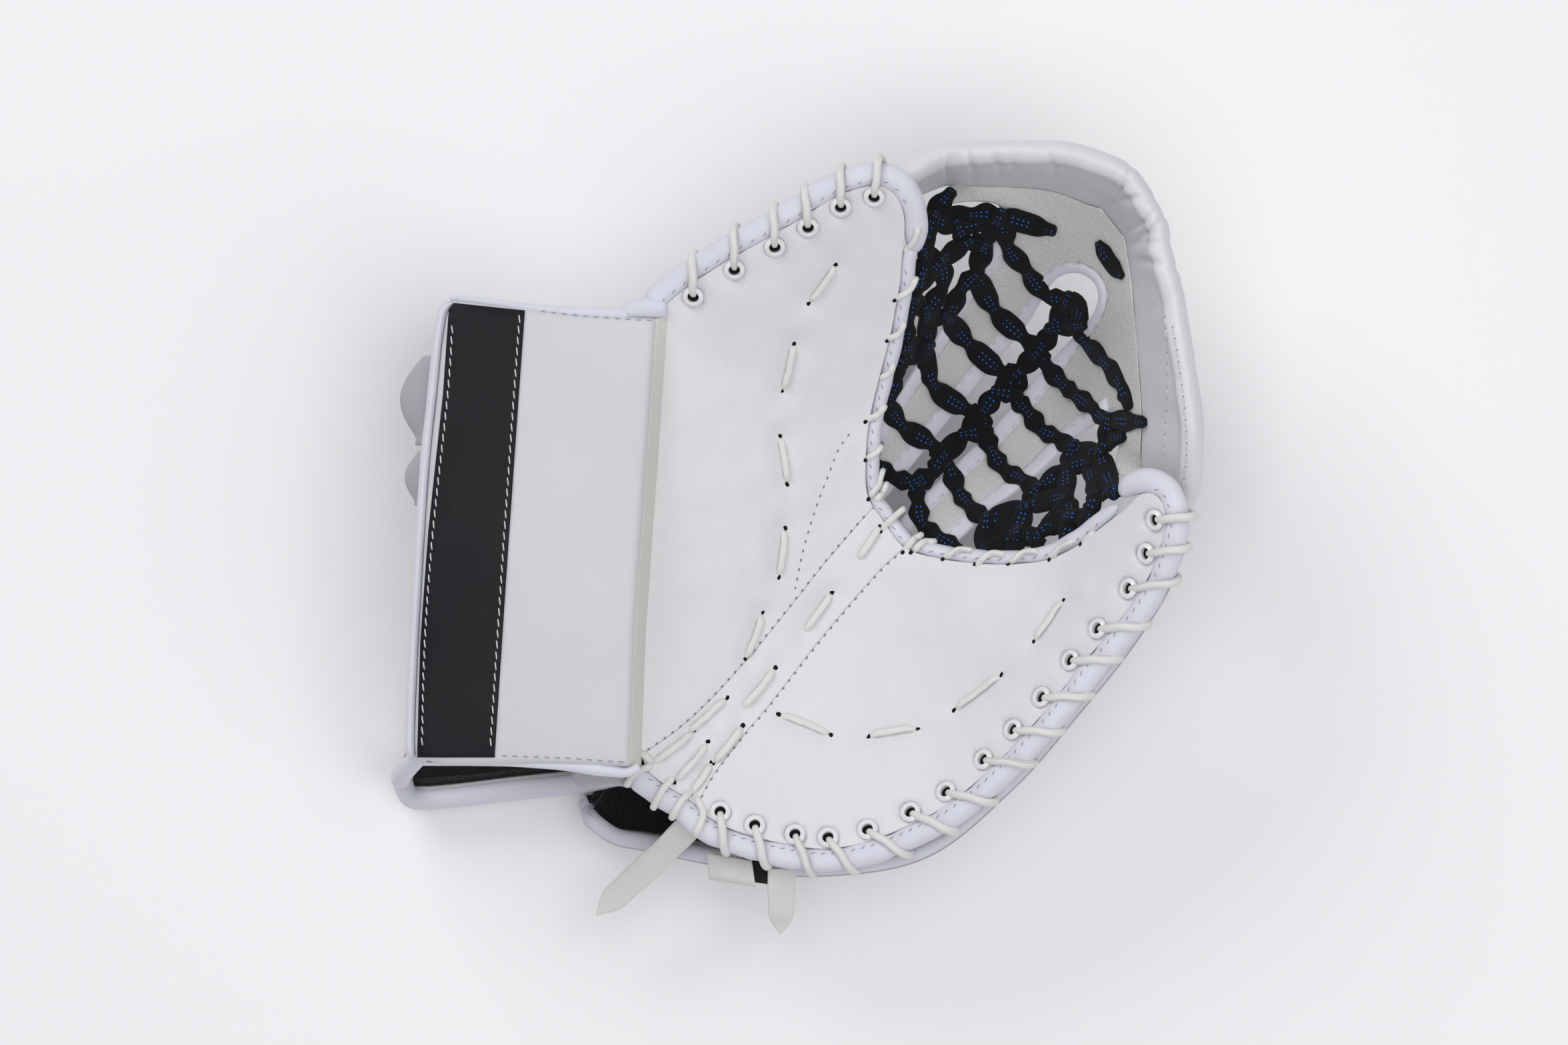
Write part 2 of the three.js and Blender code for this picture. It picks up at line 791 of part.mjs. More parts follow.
// A tube of round section through points in space.
function tube(points, radius, sides) {
  const rings = [];
  let side = new THREE.Vector3();
  points.forEach((point, i) => {
    const before = points[Math.max(i - 1, 0)];
    const after = points[Math.min(i + 1, points.length - 1)];
    const along = after.clone().sub(before).normalize();
    if (i === 0) {
      side = new THREE.Vector3(along.y, -along.x, 0.2).cross(along).normalize();
    } else {
      side = side.clone().sub(along.clone().multiplyScalar(side.dot(along))).normalize();
    }
    const other = along.clone().cross(side);
    for (let k = 0; k < sides; k += 1) {
      const angle = (k / sides) * Math.PI * 2;
      rings.push(point.clone()
        .addScaledVector(side, Math.cos(angle) * radius)
        .addScaledVector(other, Math.sin(angle) * radius)
        .toArray());
    }
  });
  const faces = [];
  for (let s = 0; s < points.length - 1; s += 1) {
    for (let k = 0; k < sides; k += 1) {
      const a = s * sides + k;
      const b = s * sides + ((k + 1) % sides);
      faces.push([a, b, b + sides], [a, b + sides, a + sides]);
    }
  }
  const last = (points.length - 1) * sides;
  for (let k = 1; k < sides - 1; k += 1) {
    faces.push([0, k + 1, k], [last, last + k, last + k + 1]);
  }
  return toSolid(makeGeometry(rings, faces));
}

// The leather's edge lies outside the eyelets, far enough to carry them.
const EDGE_INSET = EYELET_OUTER_RADIUS + EYELET_MARGIN;
const LINE_POINTS_PER_ROW = 2;

function leatherEdge(rows) {
  return offsetLine(smoothLine(rows, (rows.length - 1) * LINE_POINTS_PER_ROW), EDGE_INSET);
}

const thumbEdge = leatherEdge(THUMB_LINE);
const fingerEdge = [...outline(FINGER_TIP), ...leatherEdge(FINGER_LINE)];
const pocketEdge = smoothLine(POCKET_EDGE, POCKET_EDGE.length * 2 - 2);
const palmOutline = [...outline(CREASE), ...thumbEdge, ...pocketEdge, ...fingerEdge];

// Eyelets sit square to the palm's face, clear of its facets.
const EYELET_SIDES = 8;

function eyeletPlaces(rows) {
  return rows.filter((row) => row[2] === 1).map((row) => {
    const point = plan(row);
    const reach = EYELET_OUTER_RADIUS;
    const height = palmFace(point.x, point.y);
    const slopeX = (palmFace(point.x + reach, point.y) - palmFace(point.x - reach, point.y)) / (2 * reach);
    const slopeY = (palmFace(point.x, point.y + reach) - palmFace(point.x, point.y - reach)) / (2 * reach);
    const normal = new THREE.Vector3(-slopeX, -slopeY, 1).normalize();
    let seat = 0;
    for (let i = 0; i < EYELET_SIDES * 2; i += 1) {
      const angle = (i / EYELET_SIDES) * Math.PI;
      const dx = Math.cos(angle) * reach;
      const dy = Math.sin(angle) * reach;
      const rise = palmFace(point.x + dx, point.y + dy) - height - slopeX * dx - slopeY * dy;
      seat = Math.max(seat, rise);
    }
    return { centre: new THREE.Vector3(point.x, point.y, height + seat), normal };
  });
}

const UP = new THREE.Vector3(0, 1, 0);

function placeAlong(geometry, centre, normal) {
  geometry.applyQuaternion(new THREE.Quaternion().setFromUnitVectors(UP, normal));
  geometry.translate(centre.x, centre.y, centre.z);
  return toSolid(geometry);
}

function makePalm(thumbEyelets, fingerEyelets) {
  let whole = slab(palmOutline, palmFace, PALM_THICKNESS, GRID_STEP);
  const holeRadius = EYELET_HOLE_RADIUS + GAP;
  [...thumbEyelets, ...fingerEyelets].forEach(({ centre, normal }) => {
    const cutter = new THREE.CylinderGeometry(holeRadius, holeRadius, PALM_THICKNESS * 4, 6);
    whole = whole.subtract(placeAlong(cutter, centre, normal));
  });
  const far = GLOVE_LENGTH;
  const upper = offsetLine(outline(BREAK_UPPER), GAP / 2);
  const upperStrip = offsetLine(outline(BREAK_UPPER), -GAP / 2);
  const lowerStrip = offsetLine(outline(BREAK_LOWER), GAP / 2);
  const lower = offsetLine(outline(BREAK_LOWER), -GAP / 2);
  const thumbRegion = [...upper, new THREE.Vector2(far, far), new THREE.Vector2(-far, far),
    new THREE.Vector2(-far, upper[0].y)];
  const stripRegion = [...upperStrip, ...lowerStrip.reverse()];
  const fingerRegion = [...lower, new THREE.Vector2(far, lower[lower.length - 1].y),
    new THREE.Vector2(far, -far), new THREE.Vector2(lower[0].x, -far)];
  addPiece('palm_thumb', 'white_leather', whole.intersect(prism(thumbRegion)));
  addPiece('palm_break', 'white_leather', whole.intersect(prism(stripRegion)));
  addPiece('palm_finger', 'white_leather', whole.intersect(prism(fingerRegion)));
}

// Rolls lie just outside the leather's edge.
const ROLL_SIDES = 6;
const ROLL_DROP = 5.5;
const edgeRollHeight = (x, y) => palmFace(x, y) - ROLL_DROP;

function rollLine(edge, width) {
  return offsetLine(edge, width / 2 + GAP);
}

const HEEL_ROWS = 3;
const heelStart = fingerEdge.length - 1 - HEEL_ROWS * LINE_POINTS_PER_ROW;

function makeRolls() {
  const finger = rollLine(fingerEdge, EDGE_ROLL_WIDTH);
  const thumb = rollLine(thumbEdge, EDGE_ROLL_WIDTH);
  const pocket = rollLine(pocketEdge, POCKET_ROLL_WIDTH);
  const heelEnd = finger[heelStart].clone();
  const heelBegin = heelEnd.clone().add(finger[heelStart + 1].clone().sub(heelEnd).setLength(5 * GAP));
  const heel = [heelBegin, ...finger.slice(heelStart + 1)];
  const edgeRoll = (line) => roll(line, EDGE_ROLL_WIDTH, EDGE_ROLL_HEIGHT, edgeRollHeight, ROLL_SIDES);
  addPiece('roll_thumb', 'binding_nylon', edgeRoll(thumb));
  addPiece('roll_finger', 'binding_nylon', edgeRoll(finger.slice(0, heelStart + 1)));
  addPiece('roll_heel', 'binding_nylon', edgeRoll(heel));
  const pocketRoll = roll(pocket, POCKET_ROLL_WIDTH, POCKET_ROLL_HEIGHT, edgeRollHeight, ROLL_SIDES);
  addPiece('roll_pocket', 'binding_nylon', pocketRoll);
}

function makeEyelets(prefix, places) {
  places.forEach(({ centre, normal }, i) => {
    const low = GAP;
    const high = GAP + EYELET_HEIGHT;
    const ring = new THREE.LatheGeometry([
      new THREE.Vector2(EYELET_HOLE_RADIUS, low),
      new THREE.Vector2(EYELET_OUTER_RADIUS, low),
      new THREE.Vector2(EYELET_OUTER_RADIUS, high),
      new THREE.Vector2(EYELET_HOLE_RADIUS, high),
      new THREE.Vector2(EYELET_HOLE_RADIUS, low),
    ], EYELET_SIDES);
    addPiece(prefix + (i + 1), 'eyelet_enamel', placeAlong(ring, centre, normal));
  });
}

// One lace that winds round the roll and comes up through every eyelet in turn.
function lacePoints(places, backward) {
  const points = [];
  const reach = EDGE_INSET + GAP + EDGE_ROLL_WIDTH;
  const clear = LACE_RADIUS + GAP;
  places.forEach(({ centre, normal }, i) => {
    const before = places[Math.max(i - 1, 0)].centre;
    const after = places[Math.min(i + 1, places.length - 1)].centre;
    const along = after.clone().sub(before).setZ(0).normalize();
    const out = new THREE.Vector3(-along.y, along.x, 0);
    const pitch = after.distanceTo(before) / (Math.min(i + 1, places.length - 1) - Math.max(i - 1, 0));
    const slant = pitch * LACE_SLANT * (backward ? -1 : 1);
    const over = (outward, shift, lift) => {
      const spot = centre.clone().addScaledVector(out, outward).addScaledVector(along, shift * slant);
      const limit = Math.min(outward, EDGE_INSET + GAP + EDGE_ROLL_WIDTH / 2);
      const ground = centre.clone().addScaledVector(out, limit);
      spot.z = palmFace(ground.x, ground.y) + lift;
      return spot;
    };
    const rollTop = EDGE_ROLL_HEIGHT / 2 - ROLL_DROP;
    const rollBottom = -EDGE_ROLL_HEIGHT / 2 - ROLL_DROP;
    const crest = rollTop + clear;
    const under = Math.min(rollBottom, -PALM_THICKNESS) - clear;
    const wrap = [
      centre.clone().addScaledVector(normal, under),
      centre.clone().addScaledVector(normal, -PALM_THICKNESS / 2),
      centre.clone().addScaledVector(normal, EYELET_HEIGHT + GAP + LACE_RADIUS * 0.9),
      over(EDGE_INSET * 0.75, 0.25, EYELET_HEIGHT + GAP + clear + LACE_SLACK),
      over(EDGE_INSET + EDGE_ROLL_WIDTH * 0.5, 0.6, crest + LACE_SLACK),
      over(reach + clear * 0.4, 0.9, LACE_SLACK - ROLL_DROP * 0.25),
      over(reach + clear * 0.6 + LACE_SLACK, 1, -ROLL_DROP * 1.3),
      over(reach - EDGE_ROLL_WIDTH * 0.2, 1, under - LACE_SLACK * 0.4),
    ];
    points.push(...(backward ? wrap.reverse() : wrap));
  });
  return points;
}

const LACE_SIDES = 4;

// Back shells. Each section is a trough between an inner and an outer edge.
const TROUGH_STEPS = 3;
const TROUGH_REACH = 0.42;
const STACK = Math.max(ROLL_DROP + EDGE_ROLL_HEIGHT / 2, PALM_THICKNESS) + 2 * LACE_RADIUS
  + LACE_SLACK * 0.4 + 3 * GAP;

function troughPath(width, innerRim, outerRim, floor, rimCut) {
  const points = [];
  const reach = width * TROUGH_REACH;
  for (let i = 0; i <= TROUGH_STEPS; i += 1) {
    const angle = (i / TROUGH_STEPS) * Math.PI / 2;
    points.push(new THREE.Vector2(
      reach * (1 - Math.cos(angle)),
      floor + (innerRim - rimCut - floor) * (1 - Math.sin(angle)),
    ));
  }
  for (let i = TROUGH_STEPS; i >= 0; i -= 1) {
    const angle = (i / TROUGH_STEPS) * Math.PI / 2;
    points.push(new THREE.Vector2(
      width - reach * (1 - Math.cos(angle)),
      floor + (outerRim - rimCut - floor) * (1 - Math.sin(angle)),
    ));
  }
  return points;
}

function backStation(row, overhang, inset, thickness, rimCut) {
  const inner = plan([row[0], row[1]]);
  const outer = plan([row[3], row[4]]);
  const direction = outer.clone().sub(inner).normalize();
  const width = outer.distanceTo(inner);
  const seat = outer.clone().addScaledVector(direction, -overhang - EDGE_ROLL_WIDTH);
  const floor = row[6] * GLOVE_DEPTH;
  const palmUnder = palmFace(inner.x, inner.y) - PALM_THICKNESS;
  const innerRim = floor + (palmUnder - floor) * row[2];
  const outerRim = palmFace(seat.x, seat.y) - STACK - row[5] * GLOVE_DEPTH;
  const path = troughPath(width, innerRim, outerRim, floor, 0);
  const base = inset > 0 ? offsetLine(path, inset) : path;
  const used = rimCut > 0 ? base.slice(0, -1) : base;
  return { origin: inner, direction, edge: outer, rim: outerRim, profile: thickProfile(used, thickness) };
}

// Adds a row half way between each two rows. Plan columns bend smoothly, heights stay straight.
const HEIGHT_COLUMNS = [2, 6];

function filledRows(rows) {
  return rows.flatMap((row, i) => {
    if (i === rows.length - 1) return [row];
    const next = rows[i + 1];
    const before = rows[Math.max(i - 1, 0)];
    const after = rows[Math.min(i + 2, rows.length - 1)];
    const middle = row.map((value, column) => {
      const bend = (value + next[column] - before[column] - after[column]) / 16;
      return (value + next[column]) / 2 + (HEIGHT_COLUMNS.includes(column) ? 0 : bend);
    });
    return [row, middle];
  });
}

const fingerRows = filledRows(FINGER_BACK);

function makeBacks() {
  const thumb = THUMB_BACK.map((row) => backStation(row, 0, 0, BACK_WALL, 0));
  const finger = fingerRows.map((row) => backStation(row, BACK_OVERHANG, 0, BACK_WALL, 0));
  const keepOut = slab(palmOutline, palmFace, PALM_THICKNESS + GAP, GRID_STEP);
  addPiece('thumb_back', 'white_leather', sweep(thumb).subtract(keepOut));
  addPiece('finger_back', 'white_leather', sweep(finger).subtract(keepOut));
  const lining = fingerRows.slice(2, LINED_SECTIONS)
    .map((row) => backStation(row, BACK_OVERHANG, BACK_WALL + GAP * 3, LINING_THICKNESS, 1));
  addPiece('back_lining', 'black_mesh', sweep(lining));
  return finger;
}

// The rim band: a padded wall round the pocket that leans inward towards its foot.
function rimStation(point, along, row) {
  const direction = new THREE.Vector2(along.y, -along.x);
  const top = row[2] * GLOVE_DEPTH;
  const lean = row[3] * GLOVE_LENGTH;
  const foot = top - RIM_HEIGHT * row[4];
  const crown = RIM_THICKNESS * 0.3;
  const profile = [
    [0, top - RIM_THICKNESS],
    [RIM_THICKNESS * 0.1, top - crown],
    [RIM_THICKNESS * 0.45, top],
    [RIM_THICKNESS * 0.85, top - crown],
    [RIM_THICKNESS, top - RIM_THICKNESS],
    [lean, foot],
    [lean - RIM_FOOT_THICKNESS, foot],
  ].map(([x, y]) => new THREE.Vector2(x, y));
  return { origin: point, direction, profile };
}

function rimFootLine(inset) {
  const line = outline(RIM_SECTIONS);
  const along = tangents(line);
  return line.map((point, i) => {
    const lean = RIM_SECTIONS[i][3] * GLOVE_LENGTH + inset;
    return new THREE.Vector2(point.x + along[i].y * lean, point.y - along[i].x * lean);
  });
}

function makeRim() {
  const line = outline(RIM_SECTIONS);
  const along = tangents(line);
  const stations = line.map((point, i) => rimStation(point, along[i], RIM_SECTIONS[i]));
  addPiece('rim_band', 'white_leather', sweep(stations));
}

// The pocket's surface hangs from the palm's edge and the rim's foot.
const NET_LIFT = BINDING_THICKNESS / 2 + GAP;
const POCKET_SEAT = ROLL_DROP + POCKET_ROLL_HEIGHT / 2 + NET_LIFT + NET_LACE_THICKNESS + 4 * GAP;
const RIM_FIRST_ROW = 2;
const RIM_LAST_ROW = 16;

function pocketSurface() {
  const held = outline(POCKET_EDGE).map((point) => [point, palmFace(point.x, point.y) - POCKET_SEAT]);
  rimFootLine(0).slice(RIM_FIRST_ROW, RIM_LAST_ROW).forEach((point, i) => {
    const row = RIM_SECTIONS[i + RIM_FIRST_ROW];
    held.push([point, row[2] * GLOVE_DEPTH - RIM_HEIGHT * row[4] + BINDING_THICKNESS]);
  });
  const rows = held.map(([point, z]) => [point.x / GLOVE_LENGTH, point.y / GLOVE_WIDTH, z / GLOVE_DEPTH]);
  return heightField([...rows, ...POCKET_FLOOR]);
}

const pocketFace = pocketSurface();

function ribbonOutline(line, from, to) {
  return [...offsetLine(line, from), ...offsetLine(line, to).reverse()];
}

// The tee and its bindings follow the pocket's surface.
function makeTee() {
  const left = outline(TEE_LEFT_EDGE);
  const slot = outline(TEE_SLOT_EDGE);
  const right = outline(TEE_RIGHT_EDGE);
  const foot = rimFootLine(GAP * 2).slice(RIM_FIRST_ROW, RIM_LAST_ROW);
  const whole = [...left, ...foot, ...right.slice().reverse(), ...slot];
  const core = (x, y) => pocketFace(x, y) + TEE_THICKNESS / 2;
  const bound = (x, y) => pocketFace(x, y) + BINDING_THICKNESS / 2;
  let tee = slab(whole, core, TEE_THICKNESS, POCKET_STEP);
  const edges = [['left', left.slice(0, 7), -1], ['slot', slot, -1], ['right', right.slice(0, 5), 1]];
  edges.forEach(([name, line, side]) => {
    const cut = ribbonOutline(line, -side * GAP * 4, side * (BINDING_WIDTH + GAP));
    tee = tee.subtract(prism(cut));
    const ribbon = ribbonOutline(line, 0, side * BINDING_WIDTH);
    addPiece('tee_binding_' + name, 'binding_nylon', slab(ribbon, bound, BINDING_THICKNESS, POCKET_STEP));
  });
  addPiece('tee', 'tee_leather', tee);
}

// The net: flat lace strands knotted over the pocket, joined into one body.
const netTop = (x, y) => pocketFace(x, y) + NET_LIFT + NET_LACE_THICKNESS;

function laceOutline(names) {
  const line = names.map((name) => plan(KNOTS[name]));
  const reach = NET_LACE_WIDTH * 0.3;
  line[0].add(line[0].clone().sub(line[1]).setLength(reach));
  const last = line.length - 1;
  line[last].add(line[last].clone().sub(line[last - 1]).setLength(reach));
  return ribbonOutline(line, -NET_LACE_WIDTH / 2, NET_LACE_WIDTH / 2);
}

function makeNet() {
  let strands = null;
  const corners = [];
  STRANDS.forEach((names) => {
    const edge = laceOutline(names);
    corners.push(...edge);
    strands = strands ? strands.add(prism(edge)) : prism(edge);
  });
  const area = new THREE.Box2().setFromPoints(corners);
  const sheet = gridSlab(area, netTop, (x, y) => netTop(x, y) - NET_LACE_THICKNESS, POCKET_STEP);
  addPiece('pocket_net', 'net_lace', sheet.intersect(strands));
  const lug = ribbonOutline(outline(NET_LUG), -NET_LACE_WIDTH / 2, NET_LACE_WIDTH / 2);
  addPiece('net_lug', 'net_lace', slab(lug, netTop, NET_LACE_THICKNESS, POCKET_STEP));
}

// The cuff. Its lining starts at the wrap path's corner row, on the floor.
const LINED_FROM_ROW = 4;

function wrapPath(reach, top) {
  const corner = top * 0.3;
  const bulge = WRAP_THICKNESS * 0.5;
  const curl = WRAP_THICKNESS * 2.2;
  const points = [
    [0, top],
    [-bulge, top * 0.72],
    [-bulge, corner],
    [corner * 0.25, corner * 0.3],
    [corner, 0],
    [reach * 0.5, 0],
    [reach - curl, 0],
    [reach - curl * 0.3, curl * 0.25],
    [reach, curl * 0.8],
  ];
  return points.map(([x, y]) => new THREE.Vector2(x, y));
}

function wrapStation(row, from, inset, thickness) {
  const start = plan([row[0], row[1]]);
  const end = plan([row[2], row[3]]);
  const direction = end.clone().sub(start).normalize();
  const top = cuffFace(start.x, start.y - WRAP_THICKNESS / 2) - CUFF_THICKNESS - GAP * 3;
  const path = wrapPath(end.distanceTo(start), top);
  const base = inset > 0 ? offsetLine(path, inset).slice(from, -1) : path;
  return { origin: start, direction, profile: thickProfile(base, thickness) };
}

function makeCuff() {
  const crease = outline(CREASE);
  const cuffSide = offsetLine(crease, 2 * GAP + HINGE_WIDTH).reverse();
  const leftEdge = outline(CUFF_END);
  const inset = offsetLine(leftEdge, -(CUFF_ROLL_WIDTH + GAP));
  const front = [...outline(CUFF_TOP), ...cuffSide, ...outline(CUFF_BOTTOM), ...inset];
  addPiece('cuff_front', 'white_leather', slab(front, cuffFace, CUFF_THICKNESS, CUFF_STEP));
  const rollCentre = (x, y) => cuffFace(x, y) - CUFF_THICKNESS / 2;
  const rollPlan = offsetLine(leftEdge, -CUFF_ROLL_WIDTH / 2);
  const binding = roll(rollPlan, CUFF_ROLL_WIDTH, CUFF_THICKNESS, rollCentre, ROLL_SIDES);
  addPiece('cuff_roll', 'binding_nylon', binding);
  const bandTop = (x, y) => cuffFace(x, y) + CUFF_BAND_THICKNESS + GAP;
  const band = slab(outline(BAND_OUTLINE), bandTop, CUFF_BAND_THICKNESS, CUFF_STEP);
  addPiece('cuff_band', 'black_leather', band);
  const wrap = WRAP_SECTIONS.map((row) => wrapStation(row, 0, 0, WRAP_THICKNESS));
  addPiece('cuff_wrap', 'white_leather', sweep(wrap));
  const lining = WRAP_SECTIONS.slice(1).map(
    (row) => wrapStation(row, LINED_FROM_ROW, WRAP_THICKNESS + GAP, LINING_THICKNESS),
  );
  addPiece('cuff_lining', 'black_mesh', sweep(lining));
  const hingeTop = (x, y) => palmFace(x, y) - HINGE_DROP;
  const hinge = ribbonOutline(crease, GAP, GAP + HINGE_WIDTH);
  addPiece('cuff_hinge', 'crease_leather', slab(hinge, hingeTop, HINGE_THICKNESS, CUFF_STEP));
}

// Straps. A tail is a flat strap that narrows to a point.
function strapTail(root, tip, rootHeight, rows) {
  const way = tip.clone().sub(root);
  const direction = new THREE.Vector2(-way.y, way.x).normalize();
  return sweep(rows.map(([share, drop, widthShare]) => {
    const half = STRAP_WIDTH * widthShare / 2;
    const base = rootHeight - drop * GLOVE_DEPTH;
    const top = base + STRAP_THICKNESS;
    const profile = [[-half, base], [half, base], [half, top], [-half, top]];
    return {
      origin: root.clone().addScaledVector(way, share),
      direction,
      profile: profile.map(([x, y]) => new THREE.Vector2(x, y)),
    };
  }));
}

// A place on the finger shell's rim, part way between two sections.
function rimSpot(stations, position) {
  const first = stations[Math.floor(position)];
  const second = stations[Math.min(Math.floor(position) + 1, stations.length - 1)];
  const share = position - Math.floor(position);
  return {
    edge: first.edge.clone().lerp(second.edge, share),
    out: first.direction.clone().lerp(second.direction, share).normalize(),
    rim: first.rim + (second.rim - first.rim) * share,
  };
}

// The keeper is a leather strip folded back on itself, with an elastic between its layers.
function keeperStation({ edge, out, rim }) {
  const base = rim + SEAT_LIFT;
  const inside = ELASTIC_THICKNESS + 2 * GAP;
  const path = [
    [-SEAT_DEPTH, base],
    [KEEPER_REACH * 0.8, base],
    [KEEPER_REACH, base + KEEPER_THICKNESS + inside / 2],
    [KEEPER_REACH * 0.8, base + 2 * KEEPER_THICKNESS + inside],
    [-SEAT_DEPTH * 0.5, base + 2 * KEEPER_THICKNESS + inside],
  ].map(([x, y]) => new THREE.Vector2(x, y));
  return { origin: edge, direction: out, profile: thickProfile(path, KEEPER_THICKNESS) };
}

function elasticStation({ edge, out, rim }) {
  const base = rim + SEAT_LIFT + KEEPER_THICKNESS + GAP;
  const top = base + ELASTIC_THICKNESS;
  const far = KEEPER_REACH * 0.72;
  const profile = [[-SEAT_DEPTH, base], [far, base], [far, top], [-SEAT_DEPTH, top]];
  return { origin: edge, direction: out, profile: profile.map(([x, y]) => new THREE.Vector2(x, y)) };
}

function makeStraps(stations) {
  const [longRoot, longTip] = outline(LONG_TAIL_ENDS);
  const rollHeight = edgeRollHeight(longRoot.x, longRoot.y);
  const underRoll = rollHeight - EDGE_ROLL_HEIGHT / 2 - STRAP_THICKNESS - 2 * GAP;
  addPiece('strap_tail_long', 'strap_leather', strapTail(longRoot, longTip, underRoll, LONG_TAIL));
  const spot = rimSpot(stations, SHORT_TAIL_SPOT);
  const root = spot.edge.clone().addScaledVector(spot.out, -SEAT_DEPTH);
  const shortTail = strapTail(root, plan(SHORT_TAIL_TIP), spot.rim + SEAT_LIFT, SHORT_TAIL);
  addPiece('strap_tail_short', 'strap_leather', shortTail);
  const keeper = KEEPER_SPAN.map((position) => keeperStation(rimSpot(stations, position)));
  addPiece('strap_keeper', 'strap_leather', sweep(keeper));
  const elastic = ELASTIC_SPAN.map((position) => elasticStation(rimSpot(stations, position)));
  addPiece('strap_elastic', 'black_mesh', sweep(elastic));
}

// Wrist tabs: strap ends folded out past the cuff's end, sewn on under its front.
const TAB_STEPS = 6;

function tabStation(across, share, size) {
  const [low, high] = [CUFF_END[2], CUFF_END[3]];
  const along = low[0] + (high[0] - low[0]) * ((across - low[1]) / (high[1] - low[1]));
  const origin = plan([along, across]);
  const reach = TAB_REACH * size * (0.35 + 0.65 * Math.sin(Math.PI * Math.min(share * 1.1, 1)));
  const top = cuffTop(origin.x + TAB_ROOT, origin.y) - CUFF_THICKNESS - GAP;
  const path = [
    [-TAB_ROOT, top],
    [reach * 0.6, top - TAB_HEIGHT * 0.1],
    [reach, top - TAB_HEIGHT * 0.5],
    [reach * 0.6, top - TAB_HEIGHT * 0.9],
    [-TAB_ROOT, top - TAB_HEIGHT],
  ].map(([x, y]) => new THREE.Vector2(x, y));
  return { origin, direction: new THREE.Vector2(-1, 0), profile: thickProfile(path, -TAB_THICKNESS) };
}

function makeTabs() {
  WRIST_TABS.forEach(([name, from, to, size]) => {
    const stations = [];
    for (let i = 0; i <= TAB_STEPS; i += 1) {
      const share = i / TAB_STEPS;
      stations.push(tabStation(from + (to - from) * share, share, size));
    }
    addPiece(name, 'tab_leather', sweep(stations));
  });
}

const thumbEyelets = eyeletPlaces(THUMB_LINE);
const fingerEyelets = eyeletPlaces(FINGER_LINE);
makePalm(thumbEyelets, fingerEyelets);
makeRolls();
const thumbLace = lacePoints(thumbEyelets, false);
const fingerLace = lacePoints(fingerEyelets, true);
makeEyelets('eyelet_thumb_', thumbEyelets);
makeEyelets('eyelet_finger_', fingerEyelets);
addPiece('lacing_thumb', 'waxed_lace', tube(thumbLace, LACE_RADIUS, LACE_SIDES));
addPiece('lacing_finger', 'waxed_lace', tube(fingerLace, LACE_RADIUS, LACE_SIDES));
const fingerStations = makeBacks();
makeRim();
makeTee();
makeNet();
makeCuff();
makeStraps(fingerStations);
makeTabs();

// The origin goes to the middle of the footprint, on the floor.
const box = new THREE.Box3().setFromObject(glove);
const middle = box.getCenter(new THREE.Vector3());
glove.children.forEach((mesh) => mesh.position.set(-middle.x, -middle.y, -box.min.z));

export default glove;
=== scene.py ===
import math

import bmesh
import bpy
import numpy as np
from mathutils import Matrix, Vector
from mathutils.bvhtree import BVHTree
from mathutils.geometry import delaunay_2d_cdt


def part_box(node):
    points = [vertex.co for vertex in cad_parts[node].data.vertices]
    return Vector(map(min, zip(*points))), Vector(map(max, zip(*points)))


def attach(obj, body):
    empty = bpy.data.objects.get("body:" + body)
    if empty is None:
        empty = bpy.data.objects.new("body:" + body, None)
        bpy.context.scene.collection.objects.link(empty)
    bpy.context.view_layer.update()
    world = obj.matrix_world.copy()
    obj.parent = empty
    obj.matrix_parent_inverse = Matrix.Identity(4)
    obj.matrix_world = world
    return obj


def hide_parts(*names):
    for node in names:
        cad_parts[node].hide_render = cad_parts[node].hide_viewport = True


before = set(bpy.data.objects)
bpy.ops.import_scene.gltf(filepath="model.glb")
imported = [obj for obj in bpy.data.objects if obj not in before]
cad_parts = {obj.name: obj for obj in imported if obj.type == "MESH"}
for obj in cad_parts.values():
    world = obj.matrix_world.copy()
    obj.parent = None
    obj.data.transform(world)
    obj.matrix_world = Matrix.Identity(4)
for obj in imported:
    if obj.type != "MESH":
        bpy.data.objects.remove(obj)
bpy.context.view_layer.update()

# Driving sizes, in metres, as in the solids.
LENGTH = 0.350
WIDTH = 0.320
DEPTH = 0.140
PALM_THICKNESS = 0.010
CUFF_THICKNESS = 0.020
WRAP_THICKNESS = 0.008
BACK_WALL = 0.008
GAP = 0.0003
EYELET_OUTER = 0.0046
EYELET_HOLE = 0.0026
EDGE_INSET = EYELET_OUTER + 0.0003
EDGE_ROLL_WIDTH = 0.0094
EDGE_ROLL_HEIGHT = 0.011
POCKET_ROLL_WIDTH = 0.0052
POCKET_ROLL_HEIGHT = 0.011
ROLL_DROP = 0.0055
LACE_RADIUS = 0.0019
LACE_SLANT = 0.45
BACK_OVERHANG = 0.007
RIM_HEIGHT = 0.050
RIM_THICKNESS = 0.011
RIM_FOOT_THICKNESS = 0.006
TEE_THICKNESS = 0.0026
BINDING_WIDTH = 0.008
BINDING_THICKNESS = 0.0034
NET_WIDTH = 0.0090
NET_THICKNESS = 0.0020
HINGE_WIDTH = 0.0034
CUFF_ROLL_WIDTH = 0.006
CUFF_BINDING_WIDTH = 0.0048
STRAP_WIDTH = 0.012
STRAP_THICKNESS = 0.0024

